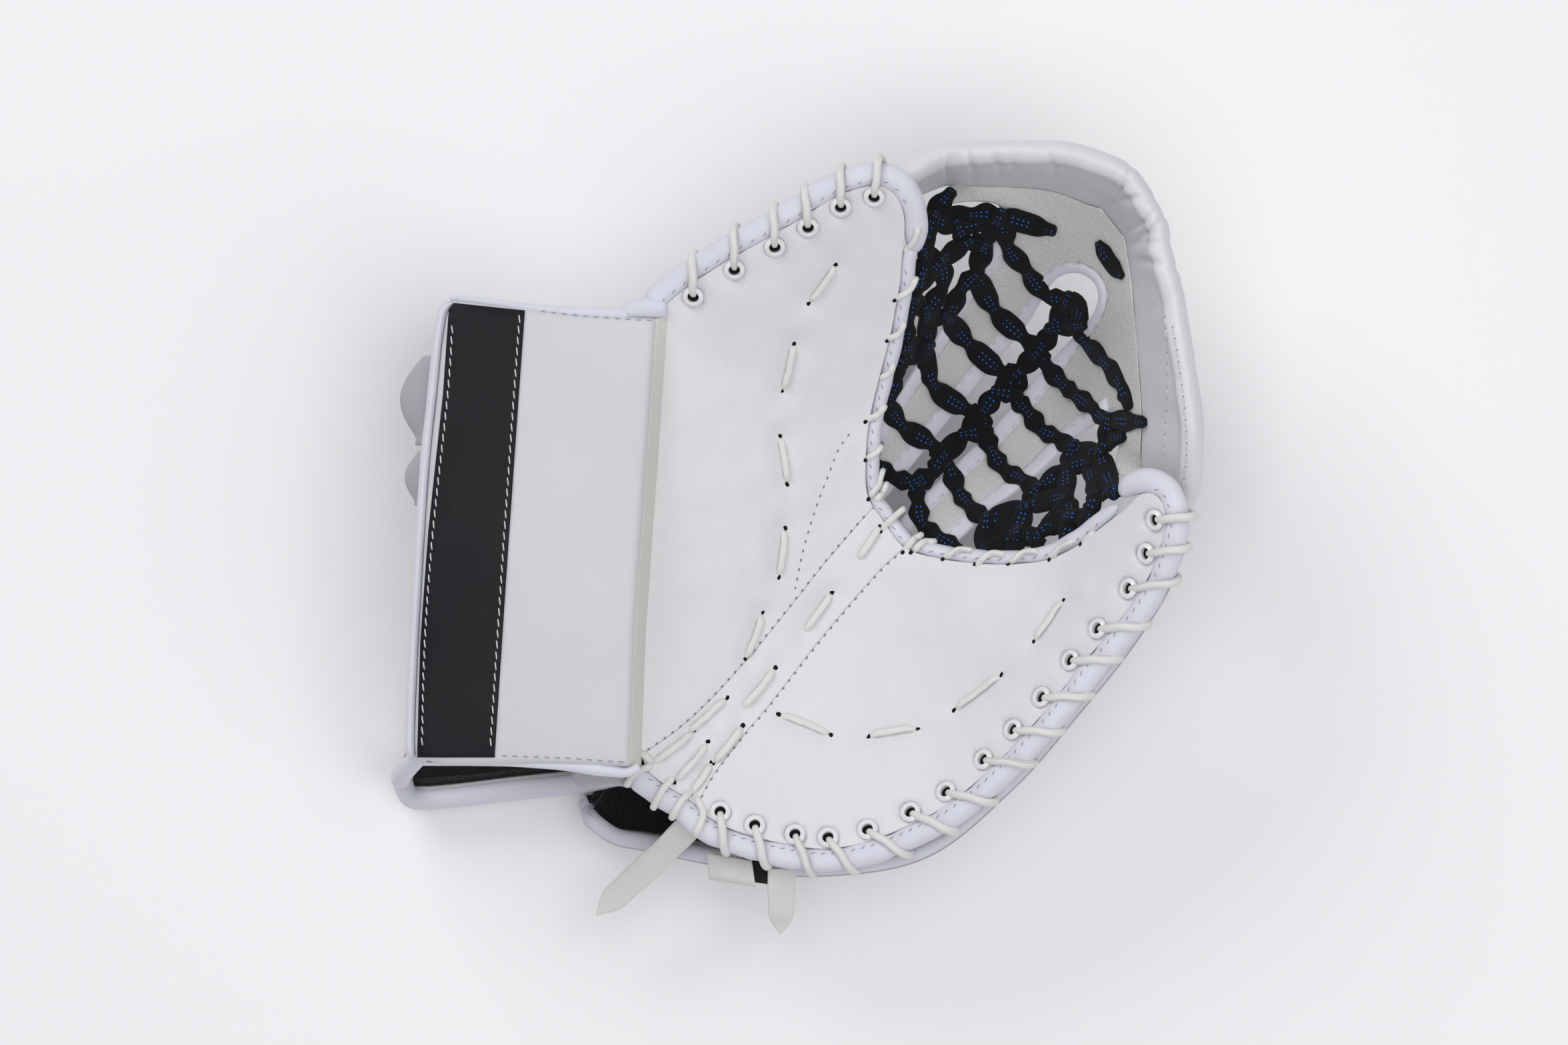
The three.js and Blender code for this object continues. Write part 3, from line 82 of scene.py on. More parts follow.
# Heights, as shares of length, width and depth.
PALM_FACE = [
    (-0.196, -0.320, 0.557), (-0.159, -0.378, 0.543), (-0.076, -0.423, 0.571), (0.017, -0.442, 0.600),
    (0.143, -0.420, 0.643), (0.269, -0.298, 0.714), (0.376, -0.155, 0.800), (0.425, -0.081, 0.857),
    (0.444, 0.004, 0.914), (0.384, -0.014, 0.771), (0.313, -0.065, 0.614), (0.229, -0.068, 0.514),
    (0.139, -0.048, 0.443), (0.094, 0.015, 0.429), (0.092, 0.125, 0.471), (0.114, 0.227, 0.571),
    (0.131, 0.333, 0.700), (0.119, 0.408, 0.800), (0.062, 0.418, 0.800), (-0.015, 0.370, 0.757),
    (-0.106, 0.307, 0.700), (-0.159, 0.270, 0.657), (-0.173, 0.004, 0.586), (-0.032, -0.176, 0.457),
    (-0.032, 0.057, 0.514), (0.182, -0.261, 0.514),
]
POCKET_FLOOR = [
    (0.269, 0.174, 0.143), (0.182, 0.248, 0.286), (0.172, 0.079, 0.214), (0.279, 0.036, 0.257),
    (0.357, 0.100, 0.286), (0.367, 0.227, 0.314), (0.279, 0.323, 0.329), (0.211, 0.344, 0.400),
    (0.338, 0.015, 0.443),
]
CUFF_FACE = [
    (-0.421, 0.287, 0.715), (-0.170, 0.261, 0.700), (-0.201, -0.331, 0.690), (-0.476, -0.338, 0.705),
    (-0.320, -0.030, 0.745),
]

# Plan lines, as shares of length and width. A third value of 1 marks an eyelet.
THUMB_LINE = [
    (-0.152, 0.268, 0), (-0.125, 0.292, 1), (-0.074, 0.328, 1), (-0.024, 0.358, 1), (0.017, 0.384, 1),
    (0.057, 0.411, 1), (0.098, 0.424, 1), (0.116, 0.412, 0), (0.122, 0.388, 0), (0.120, 0.354, 0),
]
FINGER_LINE = [
    (0.441, -0.010, 1), (0.431, -0.055, 1), (0.410, -0.102, 1), (0.373, -0.156, 1), (0.340, -0.199, 1),
    (0.305, -0.249, 1), (0.270, -0.293, 1), (0.234, -0.334, 1), (0.188, -0.378, 1), (0.144, -0.406, 1),
    (0.091, -0.430, 1), (0.042, -0.441, 1), (0.001, -0.437, 1), (-0.049, -0.425, 1), (-0.092, -0.407, 1),
    (-0.122, -0.379, 0), (-0.151, -0.360, 0), (-0.172, -0.342, 0),
]
FINGER_TIP = [(0.4125, 0.0120), (0.4222, 0.0234), (0.4339, 0.0265), (0.4446, 0.0213), (0.4510, 0.0086)]
POCKET_EDGE = [
    (0.133, 0.342), (0.131, 0.310), (0.126, 0.280), (0.120, 0.243), (0.107, 0.187), (0.094, 0.125),
    (0.090, 0.073), (0.092, 0.025), (0.110, -0.008), (0.139, -0.048), (0.186, -0.063), (0.229, -0.069),
    (0.269, -0.070), (0.313, -0.064), (0.349, -0.045), (0.384, -0.015), (0.404, 0.003),
]
CREASE = [(-0.192, -0.331), (-0.186, -0.155), (-0.172, 0.057), (-0.159, 0.262)]
BREAK_UPPER = [
    (-0.250, -0.370), (-0.163, -0.310), (-0.114, -0.266), (-0.059, -0.201), (-0.004, -0.128),
    (0.044, -0.062), (0.099, 0.007), (0.160, 0.080),
]
BREAK_LOWER = [
    (-0.160, -0.500), (-0.117, -0.389), (-0.090, -0.341), (-0.059, -0.298), (-0.032, -0.264),
    (0.031, -0.176), (0.102, -0.085), (0.133, -0.053), (0.200, 0.016),
]
CUFF_TOP_SHOWN = [(-0.4168, 0.2868), (-0.3293, 0.2757), (-0.2700, 0.2678)]
CUFF_EDGE = [
    (-0.4800, -0.3350), (-0.4820, -0.3134), (-0.4809, -0.2656), (-0.4770, -0.1764), (-0.4673, -0.001),
    (-0.4614, 0.0854), (-0.4542, 0.1594), (-0.4488, 0.2210), (-0.4449, 0.2518), (-0.4405, 0.2760),
    (-0.4310, 0.2872), (-0.4215, 0.2905),
]
CUFF_BOTTOM_SHOWN = [(-0.2030, -0.3440), (-0.2400, -0.3430), (-0.314, -0.3400), (-0.426, -0.342)]
CUFF_END = [
    (-0.476, -0.338), (-0.470, -0.208), (-0.455, 0.004), (-0.443, 0.163), (-0.437, 0.227), (-0.421, 0.287),
]
BAND_OUTLINE = [(-0.415, 0.266), (-0.334, 0.266), (-0.369, -0.326), (-0.464, -0.326)]
BAND_LEATHER = [
    (-0.4275, 0.2600), (-0.4265, 0.2740), (-0.4200, 0.2835), (-0.3325, 0.2735), (-0.3700, -0.3310),
    (-0.4660, -0.3310), (-0.4617, -0.1764), (-0.4513, -0.0255), (-0.4333, 0.1594),
]


# Where the plan's middle lies in the frame, read from a solid whose plan is known.
def band_shift():
    low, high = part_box("cuff_band")
    us = [row[0] for row in BAND_OUTLINE]
    vs = [row[1] for row in BAND_OUTLINE]
    x = (low.x + high.x) / 2 - (min(us) + max(us)) / 2 * LENGTH
    y = (low.y + high.y) / 2 - (min(vs) + max(vs)) / 2 * WIDTH
    return x, y


SHIFT = np.array(band_shift())


def plan(rows):
    """Plan points in metres, from shares of length and width."""
    table = np.array([row[:2] for row in rows], float)
    return table * [LENGTH, WIDTH] + SHIFT


# Lines.
def catmull(points, per_segment=8):
    """A smooth curve through points, evenly divided between each two."""
    p = np.asarray(points, float)
    before = np.vstack([p[:1], p[:-1]])
    after = np.vstack([p[2:], p[-1:]])
    out = []
    for i in range(len(p) - 1):
        a, b, c = before[i], p[i], p[i + 1]
        d = after[i] if i < len(p) - 2 else p[-1]
        for t in np.arange(per_segment) / per_segment:
            v0, v1 = (c - a) * 0.5, (d - b) * 0.5
            out.append((2 * b - 2 * c + v0 + v1) * t ** 3 + (-3 * b + 3 * c - 2 * v0 - v1) * t ** 2 + v0 * t + b)
    out.append(p[-1])
    return np.array(out)


def lengths(points):
    steps = np.linalg.norm(np.diff(points, axis=0), axis=1)
    return np.concatenate([[0], np.cumsum(steps)])


def resample(points, step):
    """The same line with points about one step apart."""
    s = lengths(points)
    count = max(2, int(round(s[-1] / step)) + 1)
    at = np.linspace(0, s[-1], count)
    return np.stack([np.interp(at, s, points[:, k]) for k in range(points.shape[1])], axis=1)


def tangents(points):
    t = np.gradient(points, axis=0)
    return t / np.maximum(np.linalg.norm(t, axis=1, keepdims=True), 1e-12)


def offset(points, distance):
    """A plan line moved to its left."""
    t = tangents(points)
    return points + np.stack([-t[:, 1], t[:, 0]], axis=1) * distance


def cad_offset(points, distance):
    """A plan line moved to its left with mitred corners, as in the solids."""
    p = np.asarray(points, float)
    d = np.diff(p, axis=0)
    d /= np.linalg.norm(d, axis=1, keepdims=True)
    first = np.vstack([d[:1], d])
    second = np.vstack([d, d[-1:]])
    bisector = first + second
    bisector /= np.linalg.norm(bisector, axis=1, keepdims=True)
    stretch = 1 / np.maximum((bisector * second).sum(1), 0.5)
    normal = np.stack([-bisector[:, 1], bisector[:, 0]], axis=1)
    return p + normal * distance * stretch[:, None]


def distance_to(points, line, closed=False):
    """Distance of each plan point to a plan polyline."""
    a = line if closed else line[:-1]
    b = np.roll(line, -1, axis=0) if closed else line[1:]
    ab = b - a
    size = np.maximum((ab ** 2).sum(1), 1e-18)
    best = np.full(len(points), 1e9)
    for start in range(0, len(points), 2000):
        q = points[start:start + 2000, None, :] - a[None]
        t = np.clip((q * ab[None]).sum(2) / size, 0, 1)
        gap = q - ab[None] * t[..., None]
        best[start:start + 2000] = np.sqrt((gap ** 2).sum(2)).min(1)
    return best


def inside(points, polygon):
    """True for the points inside a closed plan polygon."""
    x, y = points[:, 0], points[:, 1]
    result = np.zeros(len(points), bool)
    for (x0, y0), (x1, y1) in zip(polygon, np.roll(polygon, -1, axis=0)):
        crosses = (y0 > y) != (y1 > y)
        with np.errstate(divide="ignore", invalid="ignore"):
            at = (x1 - x0) * (y - y0) / (y1 - y0) + x0
        result ^= crosses & (x < at)
    return result


def ccw(polygon):
    x, y = polygon[:, 0], polygon[:, 1]
    area = (x * np.roll(y, -1) - np.roll(x, -1) * y).sum()
    return polygon if area > 0 else polygon[::-1]


def split_outline(polygon, line):
    """Cuts a closed polygon along a line that crosses it, into the parts before and after it."""
    crossings = []
    count = len(polygon)
    for i in range(count):
        p, r = polygon[i], polygon[(i + 1) % count] - polygon[i]
        for j in range(len(line) - 1):
            q, s = line[j], line[j + 1] - line[j]
            denominator = r[0] * s[1] - r[1] * s[0]
            if abs(denominator) < 1e-15:
                continue
            w = q - p
            t = (w[0] * s[1] - w[1] * s[0]) / denominator
            u = (w[0] * r[1] - w[1] * r[0]) / denominator
            if 0 <= t < 1 and 0 <= u < 1:
                crossings.append((j + u, i, p + r * t))
    crossings.sort(key=lambda row: row[0])
    (first, i_first, p_first), (last, i_last, p_last) = crossings[0], crossings[-1]
    middle = line[int(math.floor(first)) + 1:int(math.floor(last)) + 1]

    def walk(start, end):
        ids = []
        k = (start + 1) % count
        while k != (end + 1) % count:
            ids.append(k)
            k = (k + 1) % count
        return polygon[ids]

    one = np.vstack([[p_first], walk(i_first, i_last), [p_last], middle[::-1]])
    two = np.vstack([[p_last], walk(i_last, i_first), [p_first], middle])
    return one, two


# Heights.
class HeightField:
    """A thin-plate surface through rows of along, across and height shares."""

    def __init__(self, rows):
        table = np.array(rows, float)
        self.places = table[:, :2]
        count = len(table)
        matrix = np.zeros((count + 3, count + 3))
        matrix[:count, :count] = self.kernel(self.places[:, None] - self.places[None])
        matrix[:count, count] = 1
        matrix[:count, count + 1:] = self.places
        matrix[count:, :count] = matrix[:count, count:].T
        values = np.concatenate([table[:, 2], np.zeros(3)])
        self.weights = np.linalg.solve(matrix, values)

    @staticmethod
    def kernel(difference):
        squared = (difference ** 2).sum(-1)
        safe = np.where(squared > 0, squared, 1)
        return 0.5 * squared * np.log(safe)

    def __call__(self, points):
        shares = (np.asarray(points, float)[..., :2] - SHIFT) / [LENGTH, WIDTH]
        flat = shares.reshape(-1, 2)
        base = self.kernel(flat[:, None] - self.places[None]) @ self.weights[:-3]
        base += self.weights[-3] + flat @ self.weights[-2:]
        return (base * DEPTH).reshape(shares.shape[:-1])


palm_face = HeightField(PALM_FACE)
cuff_face = HeightField(CUFF_FACE)


def surface_normals(height, points, reach=0.002):
    dx = np.array([reach, 0])
    dy = np.array([0, reach])
    sx = (height(points + dx) - height(points - dx)) / (2 * reach)
    sy = (height(points + dy) - height(points - dy)) / (2 * reach)
    n = np.stack([-sx, -sy, np.ones_like(sx)], axis=-1)
    return n / np.linalg.norm(n, axis=-1, keepdims=True)


def ripple(points, wavelength, seed):
    """A smooth, repeatable unevenness between about -1 and 1."""
    total = np.zeros(len(points))
    for k in range(5):
        angle = seed * 1.7 + k * 2.39996
        phase = seed * 3.1 + k * 1.3
        wave = 2 * math.pi / (wavelength * (0.7 + 0.17 * k))
        total += np.sin((points[:, 0] * math.cos(angle) + points[:, 1] * math.sin(angle)) * wave + phase)
    return total / 3.2


# Meshes.
def face_outward(mesh):
    """Turns the faces of a closed mesh outward, part by part."""
    work = bmesh.new()
    work.from_mesh(mesh)
    if not any(edge.is_boundary for edge in work.edges):
        bmesh.ops.recalc_face_normals(work, faces=work.faces)
        work.to_mesh(mesh)
    work.free()


def make_object(name, vertices, faces, material, uvs=None, smooth=True):
    mesh = bpy.data.meshes.new(name)
    mesh.from_pydata([tuple(v) for v in vertices], [], [tuple(int(i) for i in f) for f in faces])
    mesh.validate()
    if uvs is not None:
        layer = mesh.uv_layers.new(name="UVMap")
        order = np.zeros(len(mesh.loops), int)
        mesh.loops.foreach_get("vertex_index", order)
        layer.data.foreach_set("uv", np.asarray(uvs, float)[order].ravel())
    if smooth:
        mesh.polygons.foreach_set("use_smooth", [True] * len(mesh.polygons))
    face_outward(mesh)
    mesh.materials.append(material)
    mesh.update()
    obj = bpy.data.objects.new(name, mesh)
    bpy.context.scene.collection.objects.link(obj)
    return obj


def finish_piece(obj, replaces=()):
    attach(obj, "root")
    if replaces:
        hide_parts(*replaces)
    return obj


def circle(centre, radius, count=20):
    angles = np.arange(count) / count * 2 * math.pi
    return centre + np.stack([np.cos(angles), np.sin(angles)], axis=1) * radius


def plan_mesh(outline, step, edge, holes=()):
    """Triangles that fill a closed outline, with closer rows beside its edge."""
    outline = ccw(outline)
    loops = [outline] + [ccw(hole)[::-1] for hole in holes]
    points = []
    edges = []
    for loop in loops:
        base = len(points)
        points.extend(loop)
        edges.extend((base + i, base + (i + 1) % len(loop)) for i in range(len(loop)))

    def gap_to_all(q):
        return np.min([distance_to(q, loop, closed=True) for loop in loops], axis=0)

    def kept(q, least):
        q = q[inside(q, outline)]
        return q[gap_to_all(q) >= least] if len(q) else q

    extra = []
    closed = np.vstack([outline[-1:], outline, outline[:1]])
    for share in (0.08, 0.3, 0.62, 1.0):
        ring = offset(closed, edge * share)[1:-1]
        extra.append(kept(ring, edge * share * 0.93))
    low, high = outline.min(0), outline.max(0)
    xs = np.arange(low[0], high[0] + step, step)
    ys = np.arange(low[1], high[1] + step * 0.87, step * 0.87)
    grid = np.array([(x + (j % 2) * step / 2, y) for j, y in enumerate(ys) for x in xs])
    extra.append(kept(grid, edge + step * 0.4))
    points = np.vstack([np.array(points)] + extra)
    result = delaunay_2d_cdt([Vector(p) for p in points], edges, [], 1, 1e-7)
    flat = np.array([tuple(v) for v in result[0]])
    faces = np.array([tuple(f) for f in result[2] if len(f) == 3])
    centres = flat[faces].mean(axis=1)
    keep = inside(centres, outline)
    for hole in holes:
        keep &= ~inside(centres, hole)
    faces = faces[keep]
    a, b, c = flat[faces[:, 0]], flat[faces[:, 1]], flat[faces[:, 2]]
    turn = (b - a)[:, 0] * (c - a)[:, 1] - (b - a)[:, 1] * (c - a)[:, 0]
    faces[turn < 0] = faces[turn < 0][:, ::-1]
    faces = faces[np.abs(turn) > 1e-14]
    used = np.unique(faces)
    renumber = np.full(len(flat), -1)
    renumber[used] = np.arange(len(used))
    return flat[used], renumber[faces], [np.asarray(loop) for loop in loops]


def rounding(gap, edge, power=2.0):
    """How far a rounded edge drops at a distance from it, for an edge of that size."""
    share = np.clip(1 - gap / edge, 0, 1)
    return edge * (1 - np.maximum(1 - share ** power, 0) ** (1 / power))


def padded_slab(name, outline, top, thickness, edge, material, step=0.0025, relief=None, holes=(),
                lower_edge=None, drop=None):
    """A padded sheet over an outline: a top that follows a height, with rounded edges."""
    flat, faces, loops = plan_mesh(outline, step, edge, holes)
    gap = np.min([distance_to(flat, loop, closed=True) for loop in loops], axis=0)
    base = top(flat)
    lower_edge = lower_edge or min(edge, thickness * 0.4)
    fall = rounding(gap, edge)
    if drop:
        fall = fall * drop / edge
    upper = base - fall
    if relief is not None:
        upper = upper + relief(flat, gap)
    lower = base - thickness + rounding(gap, lower_edge)
    lower = np.minimum(lower, upper - 0.0003)
    count = len(flat)
    vertices = np.vstack([np.column_stack([flat, upper]), np.column_stack([flat, lower])])
    directed = {}
    for f in faces:
        for i in range(3):
            directed[(f[i], f[(i + 1) % 3])] = True
    walls = []
    for (a, b) in directed:
        if (b, a) not in directed:
            walls.append((b, a, a + count, b + count))
    every = [tuple(f) for f in faces] + [tuple(count + f[::-1]) for f in faces] + walls
    uvs = np.vstack([flat, flat])
    return make_object(name, vertices, every, material, uvs)


def ring_sweep(name, rings, material, lengths_along=None, across=None, closed_profile=True, caps=True,
               return_data=False):
    """Joins rows of points, one row for each station, into a surface."""
    rings = np.asarray(rings, float)
    stations, count = rings.shape[:2]
    vertices = rings.reshape(-1, 3)
    spans = count if closed_profile else count - 1
    faces = []
    for s in range(stations - 1):
        for i in range(spans):
            j = (i + 1) % count
            a, b = s * count + i, s * count + j
            faces.append((a, b, b + count, a + count))
    if caps and closed_profile:
        faces.append(tuple(range(count))[::-1])
        faces.append(tuple((stations - 1) * count + i for i in range(count)))
    if lengths_along is None:
        lengths_along = lengths(rings.mean(axis=1))
    if across is None:
        across = lengths(rings[stations // 2])
    uvs = np.array([(u, v) for u in lengths_along for v in across])
    if return_data:
        return vertices, faces, uvs
    return make_object(name, vertices, faces, material, uvs)


def join_data(parts):
    """One set of vertices, faces and uvs from several."""
    vertices, faces, uvs = [], [], []
    base = 0
    for part_vertices, part_faces, part_uvs in parts:
        vertices.append(np.asarray(part_vertices))
        uvs.append(np.asarray(part_uvs))
        faces.extend(tuple(i + base for i in f) for f in part_faces)
        base += len(part_vertices)
    return np.vstack(vertices), faces, np.vstack(uvs)


def transported(points):
    """Frames along a space line that do not twist: side and up vectors."""
    t = tangents(points)
    side = np.cross(t[0], [0, 0, 1.0])
    if np.linalg.norm(side) < 1e-6:
        side = np.array([1.0, 0, 0])
    sides = []
    for tangent in t:
        side = side - tangent * side.dot(tangent)
        side = side / np.linalg.norm(side)
        sides.append(side)
    sides = np.array(sides)
    return t, sides, np.cross(sides, t)


def tube_data(points, radius, sides=10, flatten=1.0, twist=0.0):
    """A round cord through points. radius may be one number or one for each point."""
    t, side, up = transported(points)
    s = lengths(points)
    radius = np.broadcast_to(radius, len(points))
    angles = np.arange(sides) / sides * 2 * math.pi
    rings = []
    for i in range(len(points)):
        turned = angles + twist * s[i]
        rings.append(points[i] + radius[i] * (np.outer(np.cos(turned), side[i])
                                              + flatten * np.outer(np.sin(turned), up[i])))
    rings = np.array(rings)
    tips = []
    for end, sign in ((0, -1), (-1, 1)):
        centre = rings[end].mean(axis=0)
        cap = centre + (rings[end] - centre) * 0.6 + t[end] * sign * radius[end] * 0.45
        tips.append(cap)
    rings = np.concatenate([[tips[0]], rings, [tips[1]]])
    along = np.concatenate([[s[0] - radius[0] * 0.5], s, [s[-1] + radius[-1] * 0.5]])
    across = np.arange(sides) / sides * 2 * math.pi * radius.mean()
    return ring_sweep("", rings, None, along, across, return_data=True)


def oval(width, height, count=14, power=2.4):
    """Points of a rounded box section, as side and up offsets."""
    angles = (np.arange(count) + 0.5) / count * 2 * math.pi
    c, s = np.cos(angles), np.sin(angles)
    return np.stack([np.sign(c) * np.abs(c) ** (2 / power) * width / 2,
                     np.sign(s) * np.abs(s) ** (2 / power) * height / 2], axis=1)


def ribbon_data(points, ups, width, thickness, count=14, power=2.6):
    """A flat strip through points. width and thickness may be one number or one for each point."""
    t = tangents(points)
    side = np.cross(t, ups)
    side /= np.linalg.norm(side, axis=1, keepdims=True)
    up = np.cross(side, t)
    width = np.broadcast_to(width, len(points))
    thickness = np.broadcast_to(thickness, len(points))
    unit = oval(1, 1, count, power)
    rings = []
    for i in range(len(points)):
        rings.append(points[i] + np.outer(unit[:, 0] * width[i], side[i])
                     + np.outer(unit[:, 1] * thickness[i], up[i]))
    along = lengths(points)
    across = unit[:, 0] * width.mean()
    return ring_sweep("", np.array(rings), None, along, across, return_data=True)


# Materials.
class Nodes:
    """A small helper that builds one node material."""

    def __init__(self, name, colour, roughness, specular=0.5, sheen=0.0, coat=0.0):
        self.material = bpy.data.materials.new(name)
        self.material.use_nodes = True
        self.tree = self.material.node_tree
        self.shader = self.tree.nodes["Principled BSDF"]
        self.shader.inputs["Base Color"].default_value = (*colour, 1)
        self.shader.inputs["Roughness"].default_value = roughness
        self.shader.inputs["Specular IOR Level"].default_value = specular
        self.shader.inputs["Sheen Weight"].default_value = sheen
        self.shader.inputs["Sheen Roughness"].default_value = 0.5
        self.shader.inputs["Coat Weight"].default_value = coat
        self.shader.inputs["Coat Roughness"].default_value = 0.15
        self.coordinates = self.tree.nodes.new("ShaderNodeTexCoord")
        self.colour = colour
        self.bump = None

    def node(self, kind, **values):
        made = self.tree.nodes.new(kind)
        for key, value in values.items():
            if key in made.inputs:
                made.inputs[key].default_value = value
            else:
                setattr(made, key, value)
        return made

    def link(self, start, end):
        self.tree.links.new(start, end)

    def mapped(self, source="Object", scale=(1, 1, 1), rotation=(0, 0, 0)):
        mapping = self.node("ShaderNodeMapping")
        mapping.inputs["Scale"].default_value = scale
        mapping.inputs["Rotation"].default_value = rotation
        self.link(self.coordinates.outputs[source], mapping.inputs["Vector"])
        return mapping.outputs["Vector"]

    def noise(self, scale, detail=3.0, vector=None, roughness=0.55, distortion=0.0):
        made = self.node("ShaderNodeTexNoise")
        made.inputs["Scale"].default_value = scale
        made.inputs["Detail"].default_value = detail
        made.inputs["Roughness"].default_value = roughness
        made.inputs["Distortion"].default_value = distortion
        self.link(vector or self.coordinates.outputs["Object"], made.inputs["Vector"])
        return made.outputs["Fac"]

    def cells(self, scale, vector=None, feature="F1", output="Distance"):
        made = self.node("ShaderNodeTexVoronoi", feature=feature)
        made.inputs["Scale"].default_value = scale
        self.link(vector or self.coordinates.outputs["Object"], made.inputs["Vector"])
        return made.outputs[output]

    def wave(self, scale, vector=None, direction="X", distortion=0.0, profile="SIN", detail=0.0):
        made = self.node("ShaderNodeTexWave", bands_direction=direction, wave_profile=profile)
        made.inputs["Scale"].default_value = scale
        made.inputs["Distortion"].default_value = distortion
        made.inputs["Detail"].default_value = detail
        self.link(vector or self.coordinates.outputs["Object"], made.inputs["Vector"])
        return made.outputs["Fac"]

    def math(self, operation, a, b=0.5, clamp=False):
        made = self.node("ShaderNodeMath", operation=operation, use_clamp=clamp)
        for socket, value in zip(made.inputs, (a, b)):
            if isinstance(value, (int, float)):
                socket.default_value = value
            else:
                self.link(value, socket)
        return made.outputs["Value"]

    def ramp(self, value, stops):
        made = self.node("ShaderNodeValToRGB")
        elements = made.color_ramp.elements
        while len(elements) < len(stops):
            elements.new(0.5)
        for element, (place, colour) in zip(elements, stops):
            element.position = place
            element.color = (*colour, 1)
        self.link(value, made.inputs["Fac"])
        return made.outputs["Color"]

    def base(self, colour_output):
        self.link(colour_output, self.shader.inputs["Base Color"])
        return self

    def rough(self, value, low, high):
        made = self.node("ShaderNodeMapRange")
        made.inputs["To Min"].default_value = low
        made.inputs["To Max"].default_value = high
        self.link(value, made.inputs["Value"])
        self.link(made.outputs["Result"], self.shader.inputs["Roughness"])
        return self

    def relief(self, height, distance, strength=1.0):
        made = self.node("ShaderNodeBump")
        made.inputs["Distance"].default_value = distance
        made.inputs["Strength"].default_value = strength
        self.link(height, made.inputs["Height"])
        if self.bump:
            self.link(self.bump.outputs["Normal"], made.inputs["Normal"])
        self.bump = made
        self.link(made.outputs["Normal"], self.shader.inputs["Normal"])
        return self


def shades(colour, amount):
    dark = tuple(max(0, c * (1 - amount)) for c in colour)
    light = tuple(min(1, c * (1 + amount * 0.5)) for c in colour)
    return dark, light


def leather(name, colour, roughness=0.5, grain=0.00010, crease=0.0002, variation=0.03, scale=1.0,
            specular=0.4):
    made = Nodes(name, colour, roughness, specular=specular)
    dark, light = shades(colour, variation)
    made.base(made.ramp(made.noise(22, 4), [(0.3, dark), (0.7, light)]))
    made.relief(made.noise(70, 5, distortion=0.4), crease)
    made.relief(made.cells(1150 * scale), grain)
    made.relief(made.noise(2600 * scale, 2), grain * 0.5)
    made.rough(made.noise(35, 3), roughness - 0.06, roughness + 0.08)
    return made.material


def nylon(name, colour, roughness=0.7, rib=0.0006, depth=0.00007, direction="Y"):
    made = Nodes(name, colour, roughness, specular=0.3, sheen=0.25)
    dark, light = shades(colour, 0.035)
    made.base(made.ramp(made.noise(45, 4), [(0.3, dark), (0.7, light)]))
    uv = made.mapped("UV")
    made.relief(made.noise(60, 4, distortion=0.6), 0.0003)
    made.relief(made.wave(1 / rib / 3.0, uv, direction), depth)
    made.relief(made.noise(1900, 2), 0.00005)
    return made.material


def cord_weave(name, colour, roughness=0.55, pitch=0.0011, depth=0.00009):
    made = Nodes(name, colour, roughness, specular=0.45, sheen=0.1)
    one = made.wave(1 / pitch / 3.2, made.mapped("UV", rotation=(0, 0, math.radians(38))), "X")
    two = made.wave(1 / pitch / 3.2, made.mapped("UV", rotation=(0, 0, math.radians(-38))), "X")
    weave = made.math("ADD", made.math("MULTIPLY", one, 0.5), made.math("MULTIPLY", two, 0.5))
    dark, light = shades(colour, 0.04)
    made.base(made.ramp(weave, [(0.0, dark), (0.6, light)]))
    made.relief(weave, depth)
    made.relief(made.noise(900, 3), 0.00004)
    return made.material


def knit(name, colour):
    made = Nodes(name, colour, 0.9, specular=0.2, sheen=0.3)
    dark, light = shades(colour, 0.5)
    cell = made.cells(700)
    made.base(made.ramp(cell, [(0.2, light), (0.8, dark)]))
    made.relief(cell, 0.0003)
    return made.material


def net_tape(name):
    made = Nodes(name, (0.006, 0.006, 0.008), 0.8, specular=0.15, sheen=0.06)
    uv = made.mapped("UV")
    across = made.wave(1 / 0.0009 / 3.0, uv, "Y")
    along = made.wave(1 / 0.0011 / 3.0, uv, "X")
    weave = made.math("MULTIPLY", across, along)
    made.relief(weave, 0.00025)
    made.relief(made.noise(1300, 2), 0.0001)
    split = made.node("ShaderNodeSeparateXYZ")
    made.link(uv, split.inputs[0])
    flecks = None
    period = 0.0023
    for shift, row in ((0.0, 0.00085), (0.0, -0.00085)):
        turns = made.math("ADD", made.math("DIVIDE", split.outputs["X"], period), shift)
        phase = made.math("SUBTRACT", made.math("FRACT", turns, 0), 0.5)
        du = made.math("MULTIPLY", made.math("MULTIPLY", phase, period), 1 / 0.00040)
        dv = made.math("MULTIPLY", made.math("SUBTRACT", split.outputs["Y"], row), 1 / 0.00028)
        size = made.math("ADD", made.math("MULTIPLY", du, du), made.math("MULTIPLY", dv, dv))
        spot = made.math("LESS_THAN", size, 1.0)
        flecks = spot if flecks is None else made.math("MAXIMUM", flecks, spot)
    group = made.math("FRACT", made.math("DIVIDE", split.outputs["X"], 0.0175), 0)
    mask = made.math("LESS_THAN", group, 0.56)
    flecks = made.math("MULTIPLY", flecks, mask)
    made.base(made.ramp(flecks, [(0.0, (0.008, 0.008, 0.010)), (1.0, (0.03, 0.16, 0.62))]))
    return made.material


